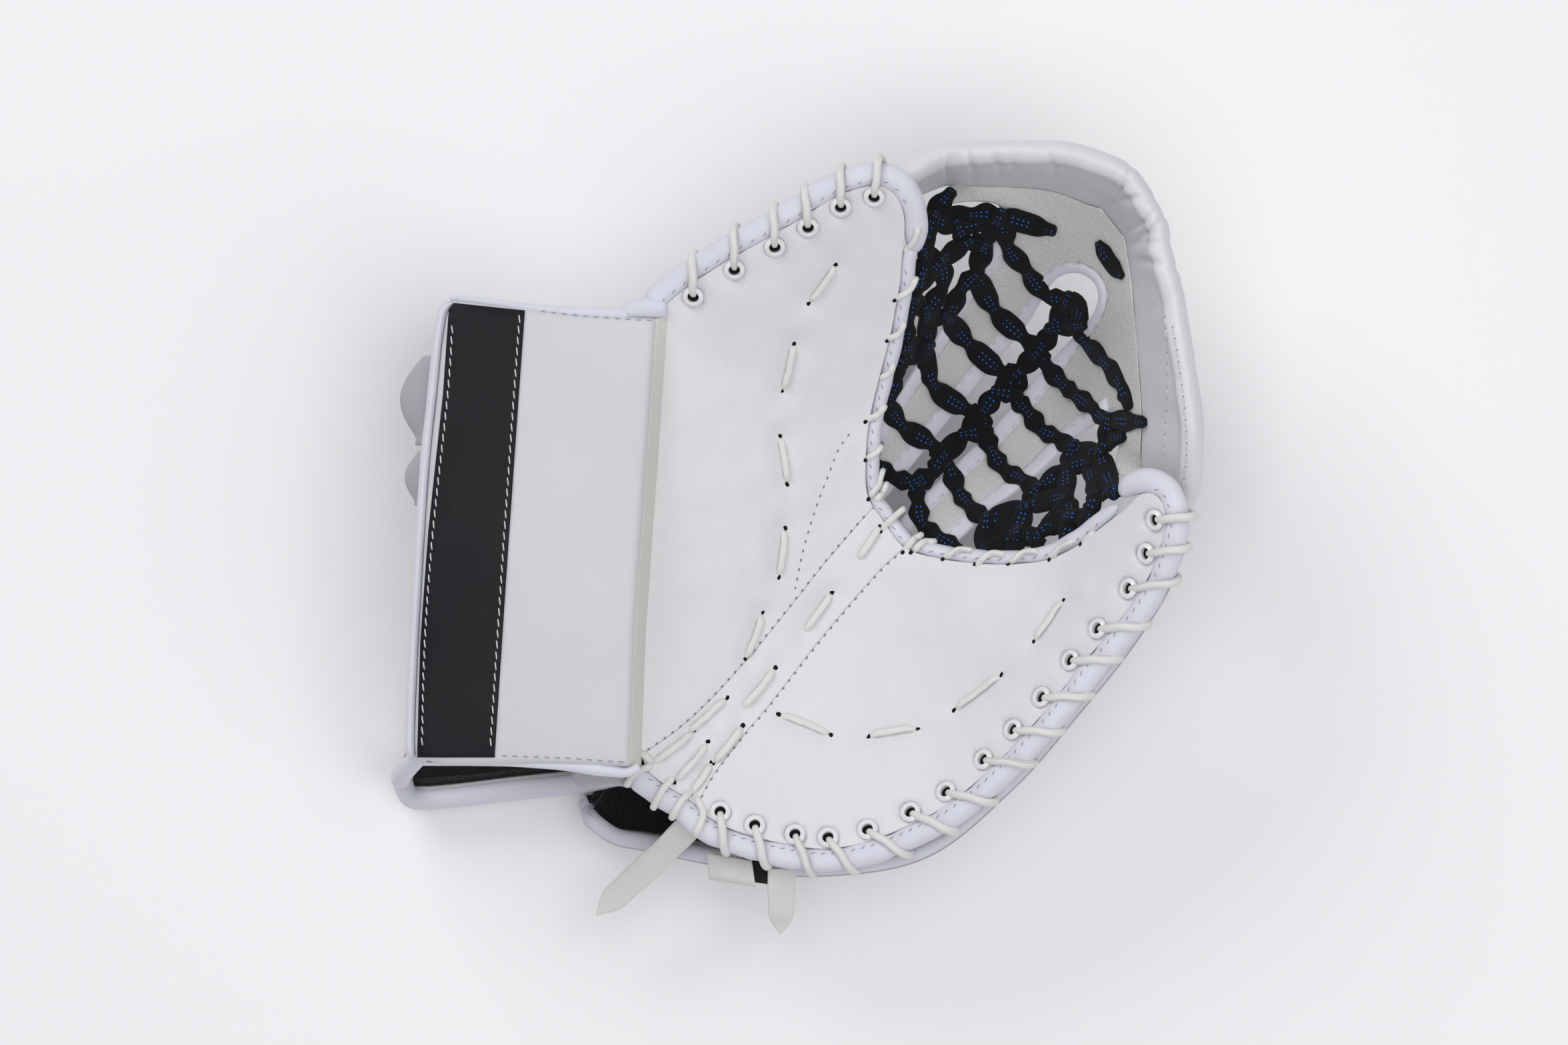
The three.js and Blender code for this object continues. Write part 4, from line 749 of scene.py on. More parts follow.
WHITE = (0.715, 0.722, 0.735)
# The cuff's leather: the palm's white leather made darker, painted shade for the cuff pad.
CUFF_SHADED_WHITE = (0.630, 0.636, 0.650)
MATERIALS = {
    "white_leather": leather("white_leather_fine", WHITE, 0.46),
    # Painted shade: a darker copy of the white leather for the cuff pad.
    "cuff_leather": leather("cuff_leather_painted_shade", CUFF_SHADED_WHITE, 0.5),
    "binding_nylon": nylon("binding_nylon_rib", (0.71, 0.71, 0.795)),
    "tee_leather": leather("tee_leather_grain", (0.60, 0.61, 0.59), 0.5, grain=0.00022, scale=0.55),
    "crease_leather": leather("crease_leather_fold", (0.68, 0.685, 0.62), 0.6),
    "black_leather": leather("black_leather_smooth", (0.007, 0.007, 0.010), 0.5, variation=0.2, specular=0.22),
    "black_mesh": knit("black_mesh_knit", (0.010, 0.010, 0.013)),
    "waxed_lace": cord_weave("waxed_lace_braid", (0.72, 0.72, 0.69)),
    "eyelet_enamel": Nodes("eyelet_enamel_gloss", (0.78, 0.78, 0.79), 0.25, coat=0.4).material,
    "net_lace": net_tape("net_lace_weave"),
    "strap_leather": leather("strap_leather_split", (0.72, 0.715, 0.68), 0.75, grain=0.0002, variation=0.05),
    # Grey-white leather made darker: partly its own grey, partly painted shade under the cuff's edge.
    "tab_leather": leather("tab_leather_shaded_grey", (0.42, 0.42, 0.45), 0.6),
    "satin": nylon("satin_grey_rib", (0.46, 0.46, 0.48), roughness=0.45),
    "thread": cord_weave("thread_white", (0.62, 0.62, 0.62), pitch=0.0006, depth=0.00004),
    # Painted shade: dark colours for the insides of holes and needle holes.
    "hole": Nodes("hole_shadow", (0.01, 0.01, 0.01), 0.9, specular=0.1).material,
    "needle_hole": Nodes("needle_hole_shadow", (0.24, 0.225, 0.20), 0.9, specular=0.1).material,
    "tick": Nodes("tick_grey", (0.33, 0.33, 0.37), 0.8, specular=0.2).material,
}

# Palm outlines.
LINE_STEP = 0.0022


def leather_edge(rows):
    return cad_offset(catmull(plan(rows), 2), EDGE_INSET)


thumb_edge = resample(catmull(leather_edge(THUMB_LINE), 4), LINE_STEP)
finger_cad = np.vstack([plan(FINGER_TIP), leather_edge(FINGER_LINE)])
finger_edge = resample(catmull(finger_cad, 4), LINE_STEP)
pocket_edge = resample(catmull(plan(POCKET_EDGE), 8), LINE_STEP)
crease_line = resample(plan(CREASE), LINE_STEP)
palm_outline = np.vstack([crease_line, thumb_edge, pocket_edge, finger_edge])
upper_seam = resample(catmull(plan(BREAK_UPPER), 6), LINE_STEP)
lower_seam = resample(catmull(plan(BREAK_LOWER), 6), LINE_STEP)


def eyelet_places(rows):
    centres = plan([row for row in rows if row[2]])
    heights = palm_face(centres)
    return np.column_stack([centres, heights]), surface_normals(palm_face, centres, 0.004)


thumb_eyelets, thumb_normals = eyelet_places(THUMB_LINE)
finger_eyelets, finger_normals = eyelet_places(FINGER_LINE)

# The palm.
CORDS_THUMB = [
    ((1065, 340), (1033, 385)), ((1012, 440), (999, 497)), ((995, 558), (1004, 615)),
    ((1001, 676), (993, 735)), ((972, 785), (950, 841)),
]
CORDS_BREAK = [
    ((1123, 672), (1096, 714)), ((1061, 758), (1026, 807)), ((988, 855), (946, 906)),
    ((925, 893), (877, 935)), ((884, 936), (831, 975)), ((901, 950), (861, 998)),
    ((946, 929), (910, 975)), ((906, 976), (881, 1014)),
]
CORDS_FINGER = [
    ((995, 914), (1058, 939)), ((1110, 941), (1170, 931)), ((1276, 862), (1220, 906)),
    ((1355, 766), (1319, 817)),
]
THUMB_SEAM = [
    (1091, 544), (1071, 571), (1057, 606), (1042, 645), (1030, 683), (1023, 710), (1018, 734), (1011, 770),
]
HEEL_MIDDLE = (862, 955)
SPOT_ORIGIN = np.array([1013, 654])
SPOT_SCALE = np.array([0.00034, -0.00034])


def spots(rows):
    """Plan points in metres, from places counted in 0.34 mm steps right and down from a corner."""
    return (np.array(rows, float) - SPOT_ORIGIN) * SPOT_SCALE + SHIFT


def segment_distance(points, a, b):
    ab = b - a
    t = np.clip(((points - a) @ ab) / (ab @ ab), 0, 1)
    return np.linalg.norm(points - a - t[:, None] * ab, axis=1)


def cord_dimples(cords, depth=0.0016, reach=0.0055):
    ends = [spots(pair) for pair in cords]

    def relief(points):
        total = np.zeros(len(points))
        for a, b in ends:
            away = segment_distance(points, a, b)
            total -= depth * np.exp(-(away / reach) ** 2) + 0.0006 * np.exp(-(away / 0.0022) ** 2)
        return total

    return relief


every_dimple = cord_dimples(CORDS_THUMB + CORDS_BREAK + CORDS_FINGER)
thumb_seam = resample(catmull(spots(THUMB_SEAM), 6), LINE_STEP)
all_eyelets = np.vstack([thumb_eyelets, finger_eyelets])[:, :2]


def palm_relief(points, gap):
    puff = 0.0011 * (1 - np.exp(-gap / 0.012)) * 1.2
    soft = 0.0007 * ripple(points, 0.055, 1) + 0.00025 * ripple(points, 0.017, 2)
    pinch = np.zeros(len(points))
    for place in all_eyelets:
        away = np.linalg.norm(points - place, axis=1)
        pinch -= 0.0002 * np.exp(-(away / 0.0060) ** 4)
    seam = -0.0005 * np.exp(-(distance_to(points, thumb_seam) / 0.0009) ** 2)
    heel = np.exp(-(np.linalg.norm(points - spots(HEEL_MIDDLE), axis=1) / 0.026) ** 2)
    creases = 0.0006 * heel * ripple(points, 0.0085, 4)
    fade = np.clip(gap / 0.006, 0, 1)
    return (puff + soft + creases) * fade + every_dimple(points) + pinch + seam


def palm_top(points):
    return palm_face(points) + palm_relief(points, np.full(len(points), 0.02))


def region_parts():
    cut = np.vstack([upper_seam[:1] - (upper_seam[1] - upper_seam[0]) * 8, upper_seam,
                     upper_seam[-1:] + (upper_seam[-1] - upper_seam[-2]) * 8])
    one, two = split_outline(palm_outline, cut)
    inner = plan([(-0.05, 0.15)])
    thumb, rest = (one, two) if inside(inner, one)[0] else (two, one)
    cut = np.vstack([lower_seam, lower_seam[-1:] + (lower_seam[-1] - lower_seam[-2]) * 8])
    one, two = split_outline(rest, cut)
    inner = plan([(0.1, -0.25)])
    finger, strip = (one, two) if inside(inner, one)[0] else (two, one)
    return thumb, strip, finger


def shrink(outline, distance):
    """A closed outline moved inward by a small distance."""
    outline = ccw(outline)
    closed = np.vstack([outline[-1:], outline, outline[:1]])
    return offset(closed, distance)[1:-1]


def tidy_outline(outline, step=0.0016):
    """Even points along a closed outline, corners kept."""
    closed = np.vstack([outline, outline[:1]])
    keep = [closed[0]]
    for point in closed[1:]:
        gap = np.linalg.norm(point - keep[-1])
        if gap > step * 1.5:
            count = int(gap / step)
            for k in range(1, count):
                keep.append(keep[-1] + (point - keep[-1]) / (count - k + 1))
            keep.append(point)
        elif gap > step * 0.45:
            keep.append(point)
    return np.array(keep[:-1])


thumb_region, strip_region, finger_region = region_parts()
HOLE_RADIUS = EYELET_HOLE + 0.0003


def palm_panel(name, region, places, material):
    outline = tidy_outline(shrink(region, 0.00004))
    holes = [circle(place, HOLE_RADIUS, 24) for place in places]
    obj = padded_slab(name, outline, palm_face, PALM_THICKNESS, 0.0013, material, 0.0026, palm_relief, holes,
                      drop=0.0004)
    return finish_piece(obj, [name.replace("_skin", "")])


palm_skins = [
    palm_panel("palm_thumb_skin", thumb_region, thumb_eyelets[:, :2], MATERIALS["white_leather"]),
    palm_panel("palm_break_skin", strip_region, [], MATERIALS["white_leather"]),
    palm_panel("palm_finger_skin", finger_region, finger_eyelets[:, :2], MATERIALS["white_leather"]),
]


# Rolls.
def roll_data(line, width, height, dents=(), taper=(0, 0), drop=ROLL_DROP):
    t = tangents(line)
    side = np.stack([-t[:, 1], t[:, 0]], axis=1)
    s = lengths(line)
    centre = palm_face(line) - drop
    swell = 1 + 0.035 * np.sin(s / 0.0061) + 0.02 * np.sin(s / 0.0023 + 1)
    press = np.zeros(len(line))
    for place in dents:
        away = np.linalg.norm(line - place, axis=1)
        press += np.exp(-(away / 0.0030) ** 2)
    press = np.minimum(press, 1)
    ends = np.ones(len(line))
    for at, reach in ((s, taper[0]), (s[-1] - s, taper[1])):
        if reach:
            ends *= np.sqrt(np.clip(at / reach, 0.02, 1) * (2 - np.clip(at / reach, 0.02, 1)))
    unit = oval(1, 1, 24, 2.7)
    rings = []
    for i in range(len(line)):
        w = width * ends[i] * (1 - 0.10 * press[i]) * swell[i]
        h = height * (0.35 + 0.65 * ends[i]) * (1 - 0.16 * press[i])
        x = unit[:, 0] * w
        z = unit[:, 1] * h + centre[i] - press[i] * 0.0004
        rings.append(np.column_stack([line[i, 0] + side[i, 0] * x, line[i, 1] + side[i, 1] * x, z]))
    angles = np.arange(24) / 24 * math.pi * (width + height) / 2
    return ring_sweep("", np.array(rings), None, s, angles, return_data=True)


def cad_roll_line(rows, width, lead=None):
    edge = leather_edge(rows) if lead is None else np.vstack([lead, leather_edge(rows)])
    return cad_offset(edge, width / 2 + GAP)


def lace_slants(count, backward):
    """How far each lace leans toward the tip, as shares of the eyelets' pitch."""
    if not backward:
        return np.full(count, 0.52)
    return np.interp(np.arange(count), [0, 1, 2, count - 5, count - 1], [-0.42, -0.6, -0.8, -0.8, -0.6])


def lace_tops(places, line, backward):
    """Where each lace crosses the middle of its roll."""
    centres = places[:, :2]
    t = tangents(centres)
    out = np.stack([-t[:, 1], t[:, 0]], axis=1)
    pitch = np.linalg.norm(np.gradient(centres, axis=0), axis=1)
    slant = pitch * lace_slants(len(places), backward)
    reach = EDGE_INSET + EDGE_ROLL_WIDTH * 0.5
    return centres + out * reach + t * (0.6 * slant)[:, None]


finger_roll_cad = cad_offset(finger_cad, EDGE_ROLL_WIDTH / 2 + GAP)
thumb_roll = catmull(cad_roll_line(THUMB_LINE, EDGE_ROLL_WIDTH), 4)
thumb_roll = resample(np.vstack([thumb_roll[:1] - tangents(thumb_roll)[:1] * 0.0045, thumb_roll]), 0.0012)
finger_roll = catmull(finger_roll_cad, 4)
finger_roll = resample(np.vstack([finger_roll, finger_roll[-1:] + tangents(finger_roll)[-1:] * 0.0042]), 0.0012)
pocket_roll = cad_offset(resample(catmull(plan(POCKET_EDGE), 8), 0.0012), POCKET_ROLL_WIDTH / 2 + GAP)
pocket_roll = resample(np.vstack([pocket_roll[:1] + [0.0012, 0.0052], pocket_roll]), 0.0012)
# Columns: outer end, inner end, sideways bow.
WHIPS = [
    ((1170, 294), (1153, 323), -0.10), ((1165, 356), (1143, 381), -0.14), ((1152, 413), (1134, 432), -0.14),
    ((1139, 465), (1124, 481), -0.14), ((1127, 517), (1107, 535), -0.12), ((1122, 569), (1107, 584), -0.12),
    ((1127, 601), (1110, 634), -0.06), ((1132, 618), (1118, 638), -0.06), ((1153, 650), (1127, 676), 0.04),
    ((1176, 683), (1155, 703), 0.06), ((1193, 691), (1166, 704), 0.12), ((1240, 704), (1207, 713), 0.16),
    ((1282, 708), (1248, 719), 0.16), ((1324, 704), (1290, 719), 0.14), ((1368, 690), (1341, 712), 0.10),
    ((1393, 678), (1379, 692), 0.06),
]
ROLL_OVERLAP = 0.0012
roll_skins = {}
thumb_tops = lace_tops(thumb_eyelets, thumb_roll, False)
finger_tops = lace_tops(finger_eyelets, finger_roll, True)
for name, line, width, height, dents, taper in (
        ("roll_thumb", thumb_roll, EDGE_ROLL_WIDTH, EDGE_ROLL_HEIGHT, thumb_tops, (0.004, 0.012)),
        ("roll_finger", finger_roll, EDGE_ROLL_WIDTH, EDGE_ROLL_HEIGHT, finger_tops, (0.010, 0.004)),
        ("roll_pocket", pocket_roll, POCKET_ROLL_WIDTH, POCKET_ROLL_HEIGHT,
         [spots(row[:2]).mean(axis=0) for row in WHIPS], (0.002, 0.008))):
    data = roll_data(line, width + ROLL_OVERLAP, height, dents, taper)
    made = make_object(name + "_skin", *data[:2], MATERIALS["binding_nylon"], data[2])
    roll_skins[name] = made
    nodes = ["roll_finger", "roll_heel"] if name == "roll_finger" else [name]
    finish_piece(made, nodes)


# Eyelets.
def lathe_data(profile, centre, normal, segments=40):
    normal = normal / np.linalg.norm(normal)
    side = np.cross(normal, [0, 1.0, 0])
    side /= np.linalg.norm(side)
    other = np.cross(normal, side)
    angles = np.arange(segments) / segments * 2 * math.pi
    count = len(profile)
    vertices, faces, uvs = [], [], []
    for angle in angles:
        arm = side * math.cos(angle) + other * math.sin(angle)
        for r, h in profile:
            vertices.append(centre + arm * r + normal * h)
            uvs.append((angle * r, h))
    for s in range(segments):
        for i in range(count):
            a, b = s * count + i, s * count + (i + 1) % count
            c, d = ((s + 1) % segments) * count + (i + 1) % count, ((s + 1) % segments) * count + i
            faces.append((a, d, c, b))
    return np.array(vertices), faces, np.array(uvs)


EYELET_PROFILE = [
    (0.00240, -0.0050), (0.00240, 0.0002), (0.00252, 0.0008), (0.00282, 0.00112), (0.00318, 0.00105),
    (0.00350, 0.00078), (0.00400, 0.00062), (0.00440, 0.00040), (0.00460, 0.0000), (0.00458, -0.0005),
    (0.00420, -0.0006), (0.00300, -0.0006), (0.00272, -0.0010), (0.00272, -0.0050),
]
for prefix, places, normals in (("eyelet_thumb_", thumb_eyelets, thumb_normals),
                                ("eyelet_finger_", finger_eyelets, finger_normals)):
    for i, (place, normal) in enumerate(zip(places, normals)):
        seat = palm_top(place[None, :2])[0]
        centre = np.array([place[0], place[1], seat]) + normal * 0.0004
        data = lathe_data(EYELET_PROFILE, centre, normal)
        made = make_object(f"{prefix}{i + 1}_ring", *data[:2], MATERIALS["eyelet_enamel"], data[2])
        finish_piece(made, [f"{prefix}{i + 1}"])


def eyelet_shadows():
    """Dark discs just inside the eyelets: painted shade of the hollow hand space behind each hole."""
    vertices, faces, uvs = [], [], []
    for place, normal in zip(np.vstack([thumb_eyelets, finger_eyelets]), np.vstack([thumb_normals, finger_normals])):
        centre = np.array([place[0], place[1], palm_top(place[None, :2])[0]]) - normal * 0.0012
        side = np.cross(normal, [0, 1.0, 0])
        side /= np.linalg.norm(side)
        other = np.cross(normal, side)
        base = len(vertices)
        vertices.append(centre)
        uvs.append((0, 0))
        for angle in np.arange(24) / 24 * 2 * math.pi:
            vertices.append(centre + (side * math.cos(angle) + other * math.sin(angle)) * 0.00262)
            uvs.append((0, 0))
        faces.extend((base, base + 1 + i, base + 1 + (i + 1) % 24) for i in range(24))
    finish_piece(make_object("eyelet_hole_shade_discs", vertices, faces, MATERIALS["hole"], uvs))


eyelet_shadows()


# Laces wind round the roll and come up through every eyelet in turn.
LACE_TURN = [(70, 0.62), (38, 0.78), (8, 0.90), (-28, 0.97), (-62, 1.0)]


def lace_line(places, normals, backward):
    t = tangents(places[:, :2])
    pitch = np.linalg.norm(np.gradient(places, axis=0), axis=1)
    slants = pitch * lace_slants(len(places), backward)
    middle = EDGE_INSET + GAP + EDGE_ROLL_WIDTH / 2
    wide = EDGE_ROLL_WIDTH / 2 + LACE_RADIUS * 0.72
    high = EDGE_ROLL_HEIGHT / 2 + LACE_RADIUS * 0.80
    under = -max(EDGE_ROLL_HEIGHT / 2 + ROLL_DROP, PALM_THICKNESS) - LACE_RADIUS
    points = []
    for i, place in enumerate(places):
        out = np.array([-t[i, 1], t[i, 0]])
        seat = palm_top(place[None, :2])[0]
        base = np.array([place[0], place[1], seat])
        lean = np.array([*(out * 0.0007 + t[i] * np.sign(slants[i]) * 0.0004), 0])

        def over(outward, shift, lift):
            spot = place[:2] + out * outward + t[i] * shift * slants[i]
            ground = place[:2] + out * min(outward, middle) + t[i] * shift * slants[i]
            return np.array([*spot, palm_face(ground[None])[0] + lift])

        wrap = [
            base + normals[i] * under,
            base - normals[i] * PALM_THICKNESS * 0.6 + lean,
            base - normals[i] * 0.0004 + lean,
            over(0.0026, 0.12, 0.0021),
            over(0.0048, 0.26, 0.0028),
            over(0.0072, 0.42, 0.0024),
        ]
        for angle, shift in LACE_TURN:
            turn = math.radians(angle)
            wrap.append(over(middle + wide * math.cos(turn), shift, high * math.sin(turn) - ROLL_DROP))
        points.extend(wrap[::-1] if backward else wrap)
    return resample(catmull(np.array(points), 6), 0.0011)


def smoothed(points, rounds=2):
    for _ in range(rounds):
        points = np.vstack([points[:1], (points[:-2] + 2 * points[1:-1] + points[2:]) / 4, points[-1:]])
    return points


for name, places, normals, backward in (("lacing_thumb", thumb_eyelets, thumb_normals, False),
                                        ("lacing_finger", finger_eyelets, finger_normals, True)):
    line = smoothed(lace_line(places, normals, backward), 2)
    near = np.min([np.linalg.norm(line[:, :2] - place[:2], axis=1) for place in places], axis=0)
    thin = 1 - 0.22 * np.exp(-(near / 0.0026) ** 2)
    data = tube_data(line, LACE_RADIUS * thin, 14, 0.92)
    made = make_object(name + "_cord", *data[:2], MATERIALS["waxed_lace"], data[2])
    finish_piece(made, [name])


# Back shells.
THUMB_BACK = [
    (-0.185, -0.316, 0, -0.155, 0.274, 0.020, 0), (-0.102, -0.225, 0, -0.103, 0.320, 0, 0),
    (-0.037, -0.140, 0, -0.050, 0.358, 0, 0), (0.021, -0.062, 0, 0.004, 0.394, 0, 0),
    (0.066, 0.010, 0.3, 0.042, 0.421, 0, 0.05), (0.070, 0.121, 1, 0.072, 0.438, 0, 0.18),
    (0.090, 0.227, 1, 0.098, 0.436, 0, 0.36), (0.105, 0.323, 1, 0.118, 0.420, 0, 0.52),
]
FINGER_BACK = [
    (-0.268, -0.393, 0, -0.255, -0.433, 0.270, 0.030), (-0.246, -0.392, 0, -0.222, -0.458, 0.250, 0.005),
    (-0.184, -0.386, 0, -0.183, -0.467, 0.200, 0), (-0.113, -0.274, 0, -0.090, -0.484, 0.050, 0),
    (-0.027, -0.172, 0, 0.026, -0.496, 0, 0), (0.046, -0.080, 0, 0.162, -0.471, 0, 0),
    (0.128, -0.078, 1, 0.269, -0.378, 0, 0.06), (0.222, -0.100, 1, 0.352, -0.274, 0, 0.19),
    (0.300, -0.096, 1, 0.415, -0.187, 0, 0.36), (0.370, -0.058, 1, 0.461, -0.107, 0, 0.56),
    (0.412, -0.024, 1, 0.482, -0.045, 0, 0.68),
]
STACK = max(ROLL_DROP + EDGE_ROLL_HEIGHT / 2, PALM_THICKNESS) + 2 * LACE_RADIUS + 0.0023 * 0.4 + 3 * GAP


def dense_rows(rows, per_segment, straight=()):
    """Rows between the rows of a table: smooth columns, and straight ones where named."""
    table = np.array(rows, float)
    smooth = catmull(table, per_segment)
    at = np.arange(len(smooth)) / per_segment
    for column in straight:
        smooth[:, column] = np.interp(at, np.arange(len(table)), table[:, column])
    return smooth


def trough_section(row, overhang, steps=9):
    inner = row[0:2] * [LENGTH, WIDTH] + SHIFT
    outer = row[3:5] * [LENGTH, WIDTH] + SHIFT
    width = np.linalg.norm(outer - inner)
    direction = (outer - inner) / width
    seat = outer - direction * (overhang + EDGE_ROLL_WIDTH)
    floor = row[6] * DEPTH
    palm_under = palm_face(inner[None])[0] - PALM_THICKNESS
    inner_rim = floor + (palm_under - floor) * row[2]
    outer_rim = palm_face(seat[None])[0] - STACK - row[5] * DEPTH
    angle = np.linspace(0, math.pi / 2, steps)
    reach = width * 0.42
    left = np.column_stack([reach * (1 - np.cos(angle)), floor + (inner_rim - floor) * (1 - np.sin(angle))])
    right = np.column_stack([width - reach * (1 - np.cos(angle)),
                             floor + (outer_rim - floor) * (1 - np.sin(angle))])
    middle = np.column_stack([np.linspace(reach, width - reach, 7)[1:-1], np.full(5, floor)])
    path = np.vstack([left, middle, right[::-1]])
    return inner, direction, path, outer, outer_rim


def thick_rings(sections, thickness, round_steps=4):
    """Closed rings of sections with rounded rims, from paths and the same paths moved inward."""
    rings = []
    for inner, direction, path, *_ in sections:
        inward = cad_offset(path, thickness)
        end_t = (path[-1] - path[-2]) / np.linalg.norm(path[-1] - path[-2])
        start_t = (path[0] - path[1]) / np.linalg.norm(path[0] - path[1])
        arcs = []
        for a, b, t in ((path[-1], inward[-1], end_t), (inward[0], path[0], start_t)):
            middle, half = (a + b) / 2, (a - b) / 2
            turn = np.linspace(0, math.pi, round_steps + 2)[1:-1]
            arcs.append(middle + np.outer(np.cos(turn), half) + np.outer(np.sin(turn), t) * thickness * 0.35)
        closed = np.vstack([path, arcs[0], inward[::-1], arcs[1]])
        rings.append(np.column_stack([inner[0] + direction[0] * closed[:, 0],
                                      inner[1] + direction[1] * closed[:, 0], closed[:, 1]]))
    return np.array(rings)


def clamp_under_palm(rings):
    flat = rings.reshape(-1, 3)
    covered = inside(flat[:, :2], palm_outline)
    limit = palm_face(flat[covered][:, :2]) - PALM_THICKNESS - 0.0006
    flat[covered, 2] = np.minimum(flat[covered, 2], np.maximum(limit, 0.001))
    return flat.reshape(rings.shape)


def shell(name, rows, overhang, material):
    sections = [trough_section(row, overhang) for row in rows]
    rings = clamp_under_palm(thick_rings(sections, BACK_WALL * 0.8))
    data = ring_sweep("", rings, None, None, lengths(rings[len(rings) // 2]), return_data=True)
    made = make_object(name + "_skin", *data[:2], material, data[2])
    finish_piece(made, [name])
    return sections, made


thumb_sections, thumb_shell = shell("thumb_back", dense_rows(THUMB_BACK, 7, (2, 6)), 0,
                                    MATERIALS["white_leather"])
finger_sections, finger_shell = shell("finger_back", dense_rows(FINGER_BACK, 10, (2, 6)), BACK_OVERHANG,
                                      MATERIALS["white_leather"])


# The black lining shows inside the finger shell's wrist end.
def lining_piece():
    rings = []
    for row in dense_rows(FINGER_BACK, 10, (2, 6))[3:36]:
        inner, direction, path, *_ = trough_section(row, BACK_OVERHANG)
        base = cad_offset(path, BACK_WALL * 0.8 + 0.0006)[:-2]
        closed = np.vstack([base, cad_offset(base, 0.0012)[::-1]])
        rings.append(np.column_stack([inner[0] + direction[0] * closed[:, 0],
                                      inner[1] + direction[1] * closed[:, 0], closed[:, 1]]))
    rings = clamp_under_palm(np.array(rings))
    half = rings.shape[1] // 2
    for _ in range(8):
        rings[1:-1] = (rings[:-2] + 2 * rings[1:-1] + rings[2:]) / 4
        for side in (rings[:, :half], rings[:, half:]):
            side[:, 1:-1] = (side[:, :-2] + 2 * side[:, 1:-1] + side[:, 2:]) / 4
    data = ring_sweep("", rings, None, return_data=True)
    made = make_object("back_lining_mesh", *data[:2], MATERIALS["black_mesh"], data[2])
    finish_piece(made, ["back_lining"])


def shell_binding():
    """The ribbed binding round the finger shell's wrist end and along its outer rim."""
    first = finger_sections[0]
    middle = cad_offset(first[2], BACK_WALL * 0.4)
    end = [np.array([first[0][0] + first[1][0] * x, first[0][1] + first[1][1] * x, z]) for x, z in middle]
    rim = []
    for inner, direction, path, *_ in finger_sections:
        x, z = cad_offset(path, BACK_WALL * 0.4)[-1]
        rim.append(np.array([inner[0] + direction[0] * x, inner[1] + direction[1] * x, z - 0.0015]))
    line = smoothed(resample(np.array(end[6:-1] + rim), 0.0016), 5)
    data = tube_data(line, BACK_WALL * 0.47, 14, 1.0)
    made = make_object("finger_back_binding", *data[:2], MATERIALS["binding_nylon"], data[2])
    finish_piece(made)


lining_piece()
shell_binding()

# The rim of the pocket.
RIM_SECTIONS = [
    (0.110, 0.452, 0.690, 0.040, 0.50), (0.143, 0.476, 0.700, 0.042, 0.70), (0.182, 0.496, 0.765, 0.046, 0.95),
    (0.223, 0.499, 0.835, 0.049, 1), (0.297, 0.500, 0.885, 0.054, 1), (0.341, 0.495, 0.915, 0.057, 1),
    (0.383, 0.481, 0.935, 0.060, 1), (0.415, 0.461, 0.950, 0.057, 1), (0.437, 0.430, 0.960, 0.054, 1),
    (0.455, 0.392, 0.965, 0.050, 1), (0.462, 0.351, 0.971, 0.049, 1), (0.476, 0.291, 0.971, 0.056, 1),
    (0.489, 0.203, 0.965, 0.062, 1), (0.499, 0.136, 0.945, 0.068, 1), (0.501, 0.088, 0.915, 0.070, 1),
    (0.500, 0.040, 0.830, 0.066, 0.90), (0.491, 0.005, 0.760, 0.056, 0.70), (0.482, -0.020, 0.720, 0.045, 0.50),
]
# Folds across the rim. Columns: place along, spread along, depth, lean.
RIM_FOLDS = [
    (0.030, 0.0016, 0.0014, -0.4), (0.040, 0.0013, 0.0018, 0.3), (0.050, 0.0016, 0.0016, 0.5),
    (0.061, 0.0014, 0.0012, -0.3), (0.074, 0.0020, 0.0010, 0.6), (0.114, 0.0016, 0.0018, 0.4),
    (0.126, 0.0020, 0.0026, -0.6), (0.135, 0.0016, 0.0020, 0.3), (0.141, 0.0022, 0.0030, 0.6),
    (0.149, 0.0014, 0.0018, -0.2), (0.158, 0.0018, 0.0022, -0.5), (0.172, 0.0024, 0.0010, 0.5),
    (0.205, 0.0030, 0.0006, 0.4), (0.262, 0.0026, 0.0008, -0.5), (0.300, 0.0022, 0.0012, 0.6),
    (0.318, 0.0018, 0.0014, -0.4),
]


RIM_SEAM = [
    (1173, 249), (1220, 241), (1300, 238), (1369, 241), (1390, 250), (1422, 270), (1433, 310), (1438, 363),
    (1439, 416), (1442, 469), (1446, 560), (1445, 625),
]


def closed_spline(points, per_segment):
    ring = np.vstack([points[-2:], points, points[:2]])
    smooth = catmull(ring, per_segment)
    return smooth[2 * per_segment:(len(points) + 2) * per_segment]


